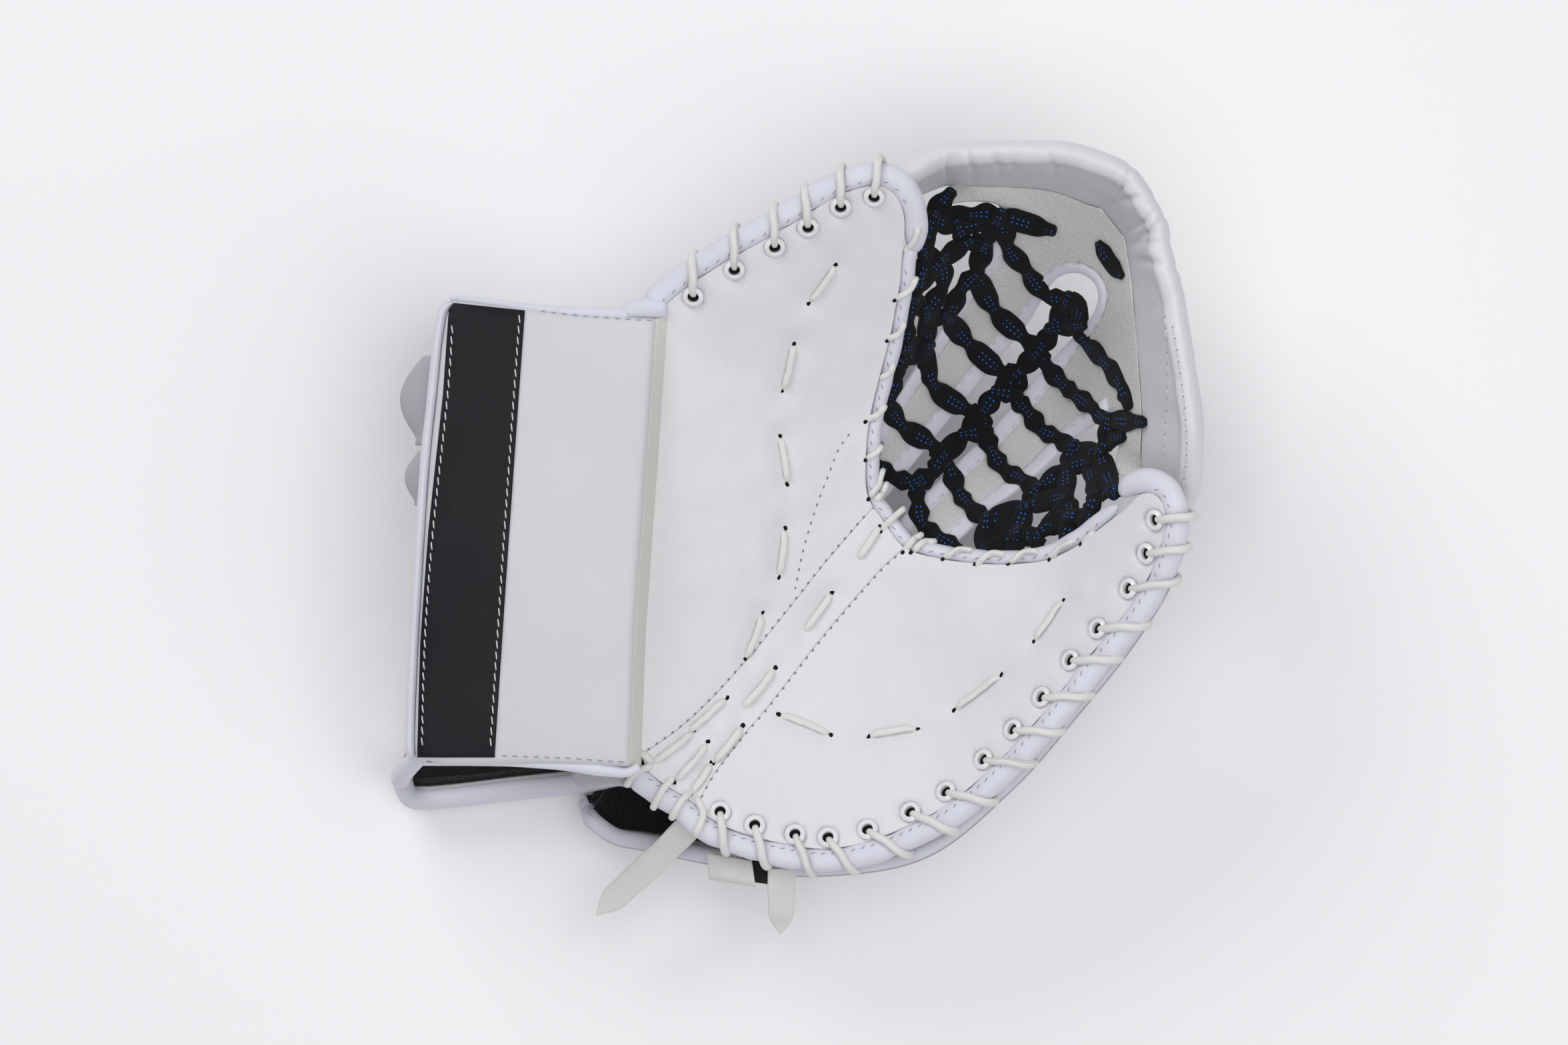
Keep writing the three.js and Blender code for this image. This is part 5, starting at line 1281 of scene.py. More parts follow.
def rim_piece():
    table = dense_rows(RIM_SECTIONS, 18)
    line = table[:, :2] * [LENGTH, WIDTH] + SHIFT
    seam = resample(catmull(spots(RIM_SEAM), 6), 0.002)
    s = lengths(line)
    t = tangents(smoothed(line, 4))
    inward = np.stack([t[:, 1], -t[:, 0]], axis=1)
    rings = []
    for i in range(len(table)):
        top = table[i, 2] * DEPTH
        lean = table[i, 3] * LENGTH
        foot = top - RIM_HEIGHT * table[i, 4]
        w = RIM_THICKNESS
        corners = np.array([
            (0, top - w), (w * 0.1, top - w * 0.3), (w * 0.45, top), (w * 0.85, top - w * 0.3), (w, top - w),
            (w + (lean - w) * 0.5, (top - w + foot) / 2 + 0.001), (lean, foot + 0.002), (lean - 0.003, foot),
            (lean - RIM_FOOT_THICKNESS, foot + 0.002),
            (0.5 * (lean - RIM_FOOT_THICKNESS), (top - w + foot) / 2 - 0.001),
        ])
        ring = closed_spline(corners, 11)
        centre = np.array([w * 0.45, top - w])
        away = ring - centre
        share = np.clip((ring[:, 0] - w * 0.2) / (lean * 0.7), 0, 1)
        depth = np.zeros(len(ring))
        for place, spread, deep, slope in RIM_FOLDS:
            at = s[i] - place - slope * (ring[:, 0] - w * 0.5)
            depth += deep * np.exp(-(at / spread) ** 2) * (0.35 + 0.65 * share)
        depth += 0.00035 * np.sin(s[i] / 0.0047 + share * 5) * (0.4 + share)
        spot = line[i] + np.outer(ring[:, 0], inward[i])
        depth += 0.0010 * np.exp(-(distance_to(spot, seam) / 0.0009) ** 2)
        upper = np.clip((ring[:, 1] - foot) / 0.01, 0, 1)
        ring = ring - away / np.linalg.norm(away, axis=1, keepdims=True) * (depth * upper)[:, None]
        rings.append(np.column_stack([line[i, 0] + inward[i, 0] * ring[:, 0],
                                      line[i, 1] + inward[i, 1] * ring[:, 0], ring[:, 1]]))
    data = ring_sweep("", np.array(rings), None, s, lengths(rings[90]), return_data=True)
    made = make_object("rim_band_skin", *data[:2], MATERIALS["white_leather"], data[2])
    return finish_piece(made, ["rim_band"])


rim_skin = rim_piece()

# The pocket's surface hangs from the palm's edge and the rim's foot.
NET_LIFT = BINDING_THICKNESS / 2 + GAP
POCKET_SEAT = ROLL_DROP + POCKET_ROLL_HEIGHT / 2 + NET_LIFT + NET_THICKNESS + 4 * GAP


def rim_foot(inset):
    line = np.array([row[:2] for row in RIM_SECTIONS]) * [LENGTH, WIDTH]
    before = np.vstack([line[:1], line[:-1]])
    after = np.vstack([line[1:], line[-1:]])
    t = after - before
    t /= np.linalg.norm(t, axis=1, keepdims=True)
    lean = np.array([row[3] * LENGTH + inset for row in RIM_SECTIONS])
    return line + np.stack([t[:, 1], -t[:, 0]], axis=1) * lean[:, None] + SHIFT


def pocket_surface():
    held = plan(POCKET_EDGE)
    rows = [(*p, z) for p, z in zip(held, palm_face(held) - POCKET_SEAT)]
    foot = rim_foot(0)
    for i in range(2, 16):
        row = RIM_SECTIONS[i]
        rows.append((*foot[i], row[2] * DEPTH - RIM_HEIGHT * row[4] + BINDING_THICKNESS))
    shares = [((x - SHIFT[0]) / LENGTH, (y - SHIFT[1]) / WIDTH, z / DEPTH) for x, y, z in rows]
    return HeightField(shares + POCKET_FLOOR)


pocket_face = pocket_surface()

TEE_LEFT = [
    (0.096, 0.108), (0.135, 0.177), (0.186, 0.261), (0.210, 0.310), (0.240, 0.355), (0.259, 0.392),
    (0.262, 0.410), (0.248, 0.423), (0.205, 0.424), (0.168, 0.412),
]
TEE_SLOT = [
    (0.128, -0.017), (0.160, 0.023), (0.202, 0.066), (0.252, 0.118), (0.293, 0.170), (0.332, 0.220),
    (0.364, 0.256), (0.376, 0.278), (0.379, 0.298), (0.372, 0.316), (0.358, 0.327), (0.341, 0.328),
    (0.326, 0.319), (0.316, 0.302), (0.297, 0.264), (0.263, 0.218), (0.222, 0.162), (0.182, 0.108),
    (0.140, 0.052), (0.108, 0.010),
]
SLOT_END = [(0.350, 0.290)]
TEE_RIGHT = [
    (0.182, -0.066), (0.249, 0.000), (0.306, 0.047), (0.354, 0.099), (0.400, 0.136), (0.409, 0.110),
    (0.398, 0.052),
]


def lift_line(line, height, lift):
    return np.column_stack([line, height(line) + lift])


def height_ribbon(line, height, lift, width, thickness, count=16, power=3.0, wobble=0.0, seed=0):
    points = lift_line(line, height, lift)
    s = lengths(line)
    if wobble:
        points[:, 2] += wobble * np.sin(s / 0.004 + seed)
    ups = surface_normals(height, line)
    return ribbon_data(points, ups, width, thickness, count, power)


tee_bindings = []


def tee_pieces():
    left = resample(catmull(plan(TEE_LEFT[:7]), 6), 0.0022)
    slot = resample(catmull(plan(TEE_SLOT), 6), 0.0022)
    right = resample(catmull(plan(TEE_RIGHT[:5]), 6), 0.0022)
    far = np.linalg.norm(slot - plan(SLOT_END), axis=1)
    slot_width = BINDING_WIDTH - 0.0030 * np.exp(-(np.maximum(far - 0.012, 0) / 0.010) ** 2)
    for name, line, side, width in (("left", left, -1, np.full(len(left), BINDING_WIDTH)),
                                    ("slot", slot, -1, slot_width),
                                    ("right", right, 1, np.full(len(right), BINDING_WIDTH))):
        middle = offset(smoothed(line, 2), side * width[:, None] / 2)
        data = height_ribbon(middle, pocket_face, 0.0002, width, BINDING_THICKNESS, 18, 2.6)
        made = make_object(f"tee_binding_{name}_ribbon", *data[:2], MATERIALS["binding_nylon"], data[2])
        finish_piece(made, [f"tee_binding_{name}"])
        tee_bindings.append((made, offset(smoothed(line, 2), side * width[:, None] * 0.76)))
    foot = rim_foot(0.0002)[2:16]
    foot = resample(catmull(foot, 4), 0.0022)
    tail_left = resample(catmull(plan(TEE_LEFT[6:]), 4), 0.0022)
    tail_right = resample(plan(TEE_RIGHT[4:]), 0.0022)
    inner = BINDING_WIDTH - 0.0008
    outline = np.vstack([offset(left, -inner), tail_left[1:], foot, tail_right[::-1][:-1],
                         offset(right, inner)[::-1],
                         offset(slot, 0.0008 - slot_width[:, None])])
    outline = tidy_outline(outline, 0.002)

    def relief(points, gap):
        shares = (points - spots([(1138, 562)])[0])
        along = shares @ np.array([0.654, 0.756])
        total = 0.0004 * ripple(points, 0.03, 5)
        for place in (0.018, 0.043, 0.069, 0.093):
            total -= 0.0004 * np.exp(-((along - place) / 0.0006) ** 2)
        return total

    made = padded_slab("tee_panel", outline, lambda q: pocket_face(q) + TEE_THICKNESS / 2, TEE_THICKNESS,
                       0.0006, MATERIALS["tee_leather"], 0.0028, relief)
    finish_piece(made, ["tee"])


tee_pieces()

# The net: flat lace strands with pinched knots.
KNOTS = {
    "tailA": (0.194, 0.434), "a1": (0.173, 0.401), "a2": (0.205, 0.392), "a3": (0.223, 0.408),
    "a4": (0.256, 0.405), "tailB": (0.318, 0.386), "b1": (0.158, 0.358), "b2": (0.181, 0.344),
    "b3": (0.216, 0.370), "b4": (0.240, 0.370), "c1": (0.186, 0.310), "c2": (0.210, 0.308),
    "c3": (0.163, 0.275), "d1": (0.152, 0.300), "d2": (0.166, 0.230), "d3": (0.133, 0.210),
    "e1": (0.125, 0.175), "e2": (0.117, 0.154), "e3": (0.104, 0.066), "s1": (0.267, 0.365),
    "s2": (0.292, 0.332), "s3": (0.317, 0.299), "k1": (0.343, 0.293), "t1": (0.230, 0.330),
    "t2": (0.253, 0.280), "k2": (0.291, 0.242), "u1": (0.192, 0.270), "u2": (0.221, 0.234),
    "k3": (0.263, 0.196), "v1": (0.175, 0.177), "k4": (0.219, 0.143), "w1": (0.136, 0.120),
    "k5": (0.175, 0.094), "x1": (0.125, 0.049), "k6": (0.150, 0.042), "m1": (0.327, 0.255),
    "m2": (0.310, 0.225), "m3": (0.285, 0.196), "m4": (0.258, 0.168), "m5": (0.237, 0.137),
    "m6": (0.216, 0.109), "m7": (0.185, 0.075), "m8": (0.174, 0.054), "m9": (0.153, 0.037),
    "r1": (0.359, 0.286), "r2": (0.357, 0.258), "r3": (0.367, 0.234), "r4": (0.389, 0.206),
    "r5": (0.408, 0.172), "r6": (0.414, 0.150), "q1": (0.319, 0.204), "q2": (0.340, 0.178),
    "q3": (0.354, 0.163), "q4": (0.375, 0.144), "q5": (0.393, 0.128), "o1": (0.281, 0.163),
    "o2": (0.296, 0.141), "o3": (0.313, 0.115), "o4": (0.332, 0.104), "o5": (0.352, 0.090),
    "h1": (0.242, 0.113), "h2": (0.251, 0.085), "h3": (0.265, 0.061), "h4": (0.288, 0.046),
    "h5": (0.308, 0.035), "g1": (0.196, 0.063), "g2": (0.207, 0.030), "g3": (0.220, 0.011),
    "g4": (0.242, -0.010), "i1": (0.156, 0.016), "i2": (0.161, -0.015), "i3": (0.182, -0.034),
    "n1": (0.385, 0.086), "n2": (0.373, 0.068), "n3": (0.343, 0.061), "n4": (0.371, 0.047),
    "n5": (0.395, 0.030), "n6": (0.342, 0.020), "n7": (0.292, 0.008), "n8": (0.279, -0.030),
    "n9": (0.308, -0.027), "p1": (0.374, 0.022), "p2": (0.364, -0.006), "p3": (0.346, -0.005),
    "p4": (0.205, -0.050), "p5": (0.238, -0.055), "p6": (0.277, -0.057), "p7": (0.306, -0.048),
    "p8": (0.336, -0.040), "p9": (0.362, -0.026), "tailC": (0.426, 0.124), "tailD": (0.404, 0.100),
    "l1": (0.161, 0.389), "l2": (0.166, 0.357), "l3": (0.156, 0.321), "l4": (0.146, 0.294),
    "l5": (0.142, 0.262), "l6": (0.137, 0.226), "l7": (0.129, 0.190), "l8": (0.120, 0.156),
}
STRANDS = [
    "tailA a1 a3 a4 tailB",
    "a1 a2 a4 s1 s2 s3 k1 r1 r2 r3 r4 r5 r6",
    "a1 b1 b2 c1 c3",
    "a2 b3 b4 t1 t2 k2 m2 q1 q2 q3 q4 q5 tailC",
    "b2 b3",
    "a4 b4",
    "b2 d1 c3 u1 c2 t1",
    "c3 d2 d3 e1 e2 w1 k5 m7 g1 g2 g3 g4 n8 p5",
    "u1 u2 k3 m3 o1 o2 o3 o4 o5 n1 q5",
    "d2 v1 k4 m5 h1 h2 h3 h4 h5 n3 n2 n4 n5",
    "e3 x1 k6 m9 i1 i2 i3 p4",
    "k1 m1 m2 m3 m4 m5 m6 m7 m8 m9",
    "m1 r2", "m4 o1", "m6 h1", "k6 m8",
    "tailD n1 n5", "n1 n2",
    "o5 n3 n6 p3 p8",
    "n4 p1 p2 p9",
    "l1 l2 l3 l4 l5 l6 l7 l8", "l3 d1", "l6 d2",
    "n5 p1", "h5 n7 n8", "n7 n6 n9 n8", "g4 n7", "g4 p5", "p3 n9 p7", "p3 p2", "n8 p6",
]
NET_LUG = [(0.377, 0.369), (0.392, 0.341), (0.407, 0.320)]
NET_CENTRE = NET_LIFT + NET_THICKNESS / 2


def net_pieces():
    place = {name: plan([row])[0] for name, row in KNOTS.items()}
    uses = {name: 0 for name in KNOTS}
    parts = []
    for number, names in enumerate(STRANDS):
        names = names.split()
        points = np.array([place[name] for name in names])
        reach = NET_WIDTH * 0.35
        points = points.copy()
        for end, other in ((0, 1), (-1, -2)):
            arm = points[end] - points[other]
            points[end] = points[end] + arm / np.linalg.norm(arm) * reach
        line = resample(catmull(points, 8), 0.0011)
        away = np.min([np.linalg.norm(line - place[name], axis=1) for name in names], axis=0)
        pinch = np.exp(-(away / 0.0034) ** 2)
        order = np.array([uses[name] for name in names], float)
        at = [int(np.argmin(np.linalg.norm(line - place[name], axis=1))) for name in names]
        s = lengths(line)
        sort = np.argsort(at)
        raise_by = np.interp(s, s[np.array(at)[sort]], order[sort]) * 0.0014
        raise_by *= pinch
        for name in names:
            uses[name] += 1
        bow = 0.0011 * (1 - pinch) * np.sin(s / 0.006 + number)
        lift = NET_CENTRE + 0.0006 + raise_by + bow
        centre = np.column_stack([line, pocket_face(line) + lift])
        ups = surface_normals(pocket_face, line)
        t = tangents(centre)
        side = np.cross(t, ups)
        tilt = 0.12 * np.sin(s / 0.009 + number * 1.7) * (1 - pinch * 0.6)
        ups = ups * 0.6 + [0, 0, 0.4] + side * tilt[:, None]
        ends = np.clip(np.minimum(s, s[-1] - s) / 0.003, 0, 1)
        width = NET_WIDTH * (1.16 - 0.50 * pinch) * (0.40 + 0.60 * np.sqrt(ends))
        thick = NET_THICKNESS * (1.15 + 0.65 * pinch)
        parts.append(ribbon_data(centre, ups, width, thick, 16, 2.3))
    made = make_object("pocket_net_lace", *join_data(parts)[:2], MATERIALS["net_lace"], join_data(parts)[2])
    finish_piece(made, ["pocket_net"])
    lug = resample(catmull(plan(NET_LUG), 6), 0.0012)
    taper = np.sqrt(np.clip(np.minimum(lengths(lug), lengths(lug)[::-1]) / 0.005, 0.12, 1))
    data = height_ribbon(lug, pocket_face, NET_CENTRE, NET_WIDTH * taper, NET_THICKNESS)
    made = make_object("net_lug_lace", *data[:2], MATERIALS["net_lace"], data[2])
    finish_piece(made, ["net_lug"])


net_pieces()


# The cuff.
def cuff_relief(points, gap):
    puff = 0.0012 * (1 - np.exp(-gap / 0.010))
    return puff + 0.0003 * ripple(points, 0.06, 7) * np.clip(gap / 0.01, 0, 1)


def cuff_pieces():
    crease = plan(CREASE)
    side = cad_offset(crease, 2 * GAP + HINGE_WIDTH)[::-1]
    left = catmull(plan(CUFF_EDGE), 3)
    inset = cad_offset(left, -(CUFF_BINDING_WIDTH - 0.0003))
    front = tidy_outline(np.vstack([plan(CUFF_TOP_SHOWN), side, plan(CUFF_BOTTOM_SHOWN), inset]), 0.002)
    made = padded_slab("cuff_front_pad", front, cuff_face, CUFF_THICKNESS, 0.0030, MATERIALS["cuff_leather"],
                       0.003, cuff_relief, lower_edge=0.004)
    finish_piece(made, ["cuff_front"])

    line = resample(cad_offset(left, -CUFF_BINDING_WIDTH / 2), 0.0014)
    t = tangents(line)
    normal = np.stack([-t[:, 1], t[:, 0]], axis=1)
    s = lengths(line)
    centre = cuff_face(line) - CUFF_THICKNESS / 2
    unit = oval(1, 1, 24, 2.3)
    rings = []
    for i in range(len(line)):
        ends = math.sqrt(min(1, max(0.06, min(s[i], s[-1] - s[i]) / 0.004)))
        w = CUFF_BINDING_WIDTH * (1 + 0.03 * math.sin(s[i] / 0.005)) * ends
        h = CUFF_THICKNESS * (1 + 0.015 * math.sin(s[i] / 0.007 + 2)) * (0.8 + 0.2 * ends)
        x = unit[:, 0] * w
        rings.append(np.column_stack([line[i, 0] + normal[i, 0] * x, line[i, 1] + normal[i, 1] * x,
                                      centre[i] + unit[:, 1] * h]))
    made = ring_sweep("cuff_roll_binding", np.array(rings), MATERIALS["binding_nylon"], s, lengths(rings[9]))
    finish_piece(made, ["cuff_roll"])

    def band_top(points):
        gap = distance_to(points, front, closed=True)
        return cuff_face(points) + cuff_relief(points, gap) - rounding(gap, 0.0030) + 0.0011

    band = tidy_outline(plan(BAND_LEATHER)[::-1], 0.0015)
    made = padded_slab("cuff_band_leather", band, band_top, 0.0016, 0.0006, MATERIALS["black_leather"], 0.003,
                       lambda q, gap: 0.00025 * ripple(q, 0.03, 9))
    finish_piece(made, ["cuff_band"])

    hinge_fold(crease)
    for name, row, sizes, drop in CUFF_PIPINGS:
        line = resample(catmull(spots(row), 6), 0.0014)
        radius = np.interp(np.linspace(0, 1, len(line)), np.linspace(0, 1, len(sizes)), sizes)
        points = np.column_stack([line, cuff_face(line) - drop])
        data = tube_data(points, radius, 14, 1.0)
        made = make_object(name, *data[:2], MATERIALS["binding_nylon"], data[2])
        finish_piece(made)


# The cuff's pipings. Columns: name, plan places, radii along it, how far below the pad's face.
CUFF_PIPINGS = [
    ("cuff_top_piping", [(576, 382), (583, 381), (637, 387), (677, 393), (740, 399), (799, 402)],
     (0.0012, 0.0016, 0.0020, 0.0024), 0.0034),
    ("cuff_corner_binding", [(795, 402), (806, 396), (822, 393), (846, 394)], (0.0030, 0.0044, 0.0048, 0.0040), 0.0058),
    ("cuff_bottom_piping", [(540, 974), (636, 974), (719, 976), (772, 982), (798, 985), (814, 979)],
     (0.0008, 0.0009, 0.0011, 0.0020, 0.0031, 0.0018), 0.0036),
]
# The hinge's valley, from the palm to the cuff. Columns: across the crease, height against the palm's face.
HINGE_PROFILE = [
    (-0.0008, -0.0014), (-0.0004, -0.0003), (0.0004, -0.0004), (0.0012, -0.0007), (0.0022, -0.0010),
    (0.0032, -0.0013), (0.0044, -0.0017), (0.0044, -0.0070), (-0.0008, -0.0070),
]


def hinge_fold(crease):
    """A soft valley of folded leather between the palm and the cuff."""
    line = resample(np.vstack([crease[:1] - tangents(crease)[:1] * 0.0042, crease]), 0.0015)
    t = tangents(smoothed(line, 3))
    normal = np.stack([-t[:, 1], t[:, 0]], axis=1)
    base = palm_face(line)
    climb = cuff_face(line) - base
    s = lengths(line)
    rings = []
    for i in range(len(line)):
        profile = np.array(HINGE_PROFILE)
        flat = line[i] + np.outer(profile[:, 0], normal[i])
        sag = 0.0002 * math.sin(s[i] / 0.009)
        share = (profile[:, 0] - profile[0, 0]) / (profile[-3, 0] - profile[0, 0])
        rings.append(np.column_stack([flat, base[i] + profile[:, 1] + climb[i] * share + sag]))
    made = ring_sweep("cuff_hinge_fold", np.array(rings), MATERIALS["crease_leather"], s)
    finish_piece(made, ["cuff_hinge"])


cuff_pieces()

WRAP_SECTIONS = [
    (-0.411, 0.272, -0.501, -0.372), (-0.404, 0.272, -0.494, -0.400), (-0.385, 0.270, -0.473, -0.411),
    (-0.304, 0.262, -0.353, -0.397), (-0.236, 0.256, -0.269, -0.387), (-0.175, 0.252, -0.196, -0.371),
]


def wrap_path(reach, top):
    corner = top * 0.3
    bulge = WRAP_THICKNESS * 0.5
    curl = WRAP_THICKNESS * 2.2
    points = np.array([
        (0, top), (-bulge, top * 0.72), (-bulge, corner), (corner * 0.25, corner * 0.3), (corner, 0),
        (reach * 0.5, 0), (reach - curl, 0), (reach - curl * 0.3, curl * 0.25), (reach, curl * 0.8),
    ])
    smooth = catmull(points, 5)
    smooth[:, 1] = np.maximum(smooth[:, 1], 0)
    return smooth


def wrap_section(row):
    start = row[:2] * [LENGTH, WIDTH] + SHIFT
    end = row[2:] * [LENGTH, WIDTH] + SHIFT
    reach = np.linalg.norm(end - start)
    direction = (end - start) / reach
    top = cuff_face(start[None])[0] - CUFF_THICKNESS - 3 * GAP
    return start, direction, wrap_path(reach, top), end, top


def wrap_pieces():
    rows = dense_rows(WRAP_SECTIONS, 9)
    sections = [wrap_section(row) for row in rows]
    rings = thick_rings(sections, WRAP_THICKNESS)
    s = lengths(rings.mean(axis=1))
    data = ring_sweep("", rings, None, s, lengths(rings[20]), return_data=True)
    made = make_object("cuff_wrap_skin", *data[:2], MATERIALS["white_leather"], data[2])
    finish_piece(made, ["cuff_wrap"])
    parts = []
    for start, direction, path, *_ in sections[9:]:
        base = cad_offset(path, WRAP_THICKNESS + GAP)[18:-3]
        closed = np.vstack([base, cad_offset(base, 0.0013)[::-1]])
        parts.append(np.column_stack([start[0] + direction[0] * closed[:, 0],
                                      start[1] + direction[1] * closed[:, 0], closed[:, 1]]))
    data = ring_sweep("", np.array(parts), None, return_data=True)
    made = make_object("cuff_lining_mesh", *data[:2], MATERIALS["black_mesh"], data[2])
    finish_piece(made, ["cuff_lining"])
    return sections, rings


wrap_sections, wrap_rings = wrap_pieces()

# Straps.
LONG_TAIL_ENDS = [(-0.127, -0.424), (-0.248, -0.555)]
LONG_TAIL = [(0, 0, 1), (0.30, 0.085, 1), (0.50, 0.120, 1), (0.80, 0.152, 1), (1, 0.165, 0.06)]
SHORT_TAIL_TIP = (-0.018, -0.576)
SHORT_TAIL = [(0, 0, 1), (0.30, 0.008, 1), (0.66, 0.038, 1), (0.86, 0.065, 0.62), (1, 0.080, 0.06)]


def strap_tail(name, root, tip, root_height, rows):
    table = catmull(np.array(rows, float), 8)
    way = tip - root
    flat = root + np.outer(table[:, 0], way)
    side = np.array([-way[1], way[0]]) / np.linalg.norm(way)
    s = table[:, 0] * np.linalg.norm(way)
    flat = flat + np.outer(0.0004 * np.sin(s / 0.012), side)
    height = root_height - table[:, 1] * DEPTH + STRAP_THICKNESS / 2
    points = np.column_stack([flat, height])
    ups = np.tile([0, 0, 1.0], (len(points), 1)) + np.outer(0.16 * np.sin(s / 0.011 + 1), [*side, 0])
    width = STRAP_WIDTH * np.clip(table[:, 2], 0.04, 1) * (1 + 0.03 * np.sin(s / 0.004))
    data = ribbon_data(points, ups, width, STRAP_THICKNESS, 18, 4.0)
    made = make_object(name + "_strip", *data[:2], MATERIALS["strap_leather"], data[2])
    finish_piece(made, [name])


def rim_spot(position):
    """A place on the finger shell's rim, in sections of half a table row."""
    at = position * 5
    low = int(math.floor(at))
    a, b = finger_sections[low], finger_sections[min(low + 1, len(finger_sections) - 1)]
    share = at - low
    edge = a[3] + (b[3] - a[3]) * share
    out = a[1] + (b[1] - a[1]) * share
    return edge, out / np.linalg.norm(out), a[4] + (b[4] - a[4]) * share


def strap_pieces():
    root, tip = plan(LONG_TAIL_ENDS)
    under = palm_face(root[None])[0] - ROLL_DROP - EDGE_ROLL_HEIGHT / 2 - STRAP_THICKNESS - 2 * GAP
    strap_tail("strap_tail_long", root, tip, under, LONG_TAIL)
    edge, out, rim = rim_spot(7.34)
    strap_tail("strap_tail_short", edge - out * 0.003, plan([SHORT_TAIL_TIP])[0], rim + 0.0018, SHORT_TAIL)
    rings = []
    for position in np.linspace(5.65, 6.72, 18):
        edge, out, rim = rim_spot(position)
        base = rim + 0.0018
        room = 0.001 + 2 * GAP
        thickness = 0.0014
        path = catmull(np.array([(-0.006, base), (0.001, base), (0.005, base), (0.007, base + thickness + room / 2),
                                 (0.005, base + 2 * thickness + room + 0.0008), (0.000, base + 2 * thickness + room + 0.0012),
                                 (-0.005, base + 2 * thickness + room)]), 4)
        closed = np.vstack([path, cad_offset(path, thickness)[::-1]])
        rings.append(np.column_stack([edge[0] + out[0] * closed[:, 0], edge[1] + out[1] * closed[:, 0],
                                      closed[:, 1]]))
    made = ring_sweep("strap_keeper_fold", np.array(rings), MATERIALS["strap_leather"])
    finish_piece(made, ["strap_keeper"])
    rings = []
    unit = oval(1, 1, 14, 3.5)
    for position in np.linspace(6.5, 7.10, 10):
        edge, out, rim = rim_spot(position)
        x = unit[:, 0] * 0.0110 - 0.0006
        z = unit[:, 1] * 0.001 + rim + 0.0018 + 0.0014 + GAP + 0.0005
        rings.append(np.column_stack([edge[0] + out[0] * x, edge[1] + out[1] * x, z]))
    made = ring_sweep("strap_elastic_band", np.array(rings), MATERIALS["black_mesh"])
    finish_piece(made, ["strap_elastic"])


strap_pieces()


# The wrist tabs' leather is darker than their own grey-white: painted shade under the cuff's edge.
def tab_pieces():
    low, high = CUFF_END[2], CUFF_END[3]
    for name, start, end, size in (("wrist_tab_upper", 0.214, 0.092, 1), ("wrist_tab_lower", 0.084, 0.010, 0.62)):
        rings = []
        for share in np.linspace(0, 1, 26):
            across = start + (end - start) * share
            along = low[0] + (high[0] - low[0]) * ((across - low[1]) / (high[1] - low[1]))
            origin = plan([(along, across)])[0]
            reach = 0.004 + 0.013 * size * (0.35 + 0.65 * math.sin(math.pi * min(share * 1.1, 1)))
            top = cuff_face((origin + [0.009, 0])[None])[0] - CUFF_THICKNESS - GAP - 0.0004
            path = catmull(np.array([
                (-0.009, top), (0, top - 0.0004), (reach * 0.6, top - 0.026 * 0.1), (reach, top - 0.026 * 0.5),
                (reach * 0.6, top - 0.026 * 0.9), (0, top - 0.0256), (-0.009, top - 0.026)]), 4)
            closed = np.vstack([path, cad_offset(path, -0.0026)[::-1]])
            rings.append(np.column_stack([origin[0] - closed[:, 0], np.full(len(closed), origin[1]),
                                          closed[:, 1]]))
        made = ring_sweep(name + "_fold", np.array(rings), MATERIALS["tab_leather"])
        finish_piece(made, [name])


tab_pieces()


# Threads and cords laid on the skins.
def skin_tree(*objects):
    vertices, faces = [], []
    for obj in objects:
        base = len(vertices)
        vertices.extend(v.co.copy() for v in obj.data.vertices)
        faces.extend([i + base for i in p.vertices] for p in obj.data.polygons)
    return BVHTree.FromPolygons(vertices, faces)


def drape(tree, flat, lift=0.0):
    """The points of a skin right below plan points, and its normals there."""
    points, normals = [], []
    for x, y in flat:
        place, normal, _, _ = tree.ray_cast(Vector((x, y, 0.4)), Vector((0, 0, -1)))
        if place is None:
            place, normal = Vector((x, y, points[-1][2] if points else 0.05)), Vector((0, 0, 1))
        normal = normal if normal.z > 0 else -normal
        points.append(tuple(place))
        normals.append(tuple(normal))
    points, normals = np.array(points), np.array(normals)
    return points + normals * lift, normals


def stitch_data(tree, line, pitch, length, width, height, twist=0.0, sink=0.5):
    """Short arched threads along a plan line on a skin."""
    s = lengths(line)
    count = int((s[-1] - length) / pitch) + 1
    parts = []
    for i in range(count):
        middle = length / 2 + i * pitch
        at = middle + np.linspace(-0.5, 0.5, 7) * length
        flat = np.column_stack([np.interp(at, s, line[:, 0]), np.interp(at, s, line[:, 1])])
        if twist:
            t = flat[-1] - flat[0]
            side = np.array([-t[1], t[0]]) / np.linalg.norm(t)
            flat = flat + np.outer(np.linspace(-0.5, 0.5, 7), side) * twist
        points, normals = drape(tree, flat)
        arch = np.array([-0.9, -0.1, 0.55, 0.7, 0.55, -0.1, -0.9])
        points = points + normals * (arch * height * sink)[:, None]
        ends = np.array([0.55, 0.9, 1, 1, 1, 0.9, 0.55])
        parts.append(ribbon_data(points, normals, width * ends, height * ends, 8, 2.0))
    return parts


def hole_shade_data(tree, flat, direction, long=0.0008, wide=0.0005, lift=0.00006):
    """Painted shade of small holes: dark discs laid just above a skin."""
    points, normals = drape(tree, flat, lift)
    angles = np.arange(10) / 10 * 2 * math.pi
    vertices, faces, uvs = [], [], []
    for k, (point, normal) in enumerate(zip(points, normals)):
        along = np.array([*direction[k], 0.0])
        along -= normal * along.dot(normal)
        along /= np.linalg.norm(along)
        side = np.cross(normal, along)
        base = len(vertices)
        vertices.append(point + normal * 0.00006)
        for angle in angles:
            vertices.append(point + along * math.cos(angle) * long + side * math.sin(angle) * wide)
        faces.extend((base, base + 1 + i, base + 1 + (i + 1) % 10) for i in range(10))
        uvs.extend([(0, 0)] * 11)
    return np.array(vertices), faces, np.array(uvs)
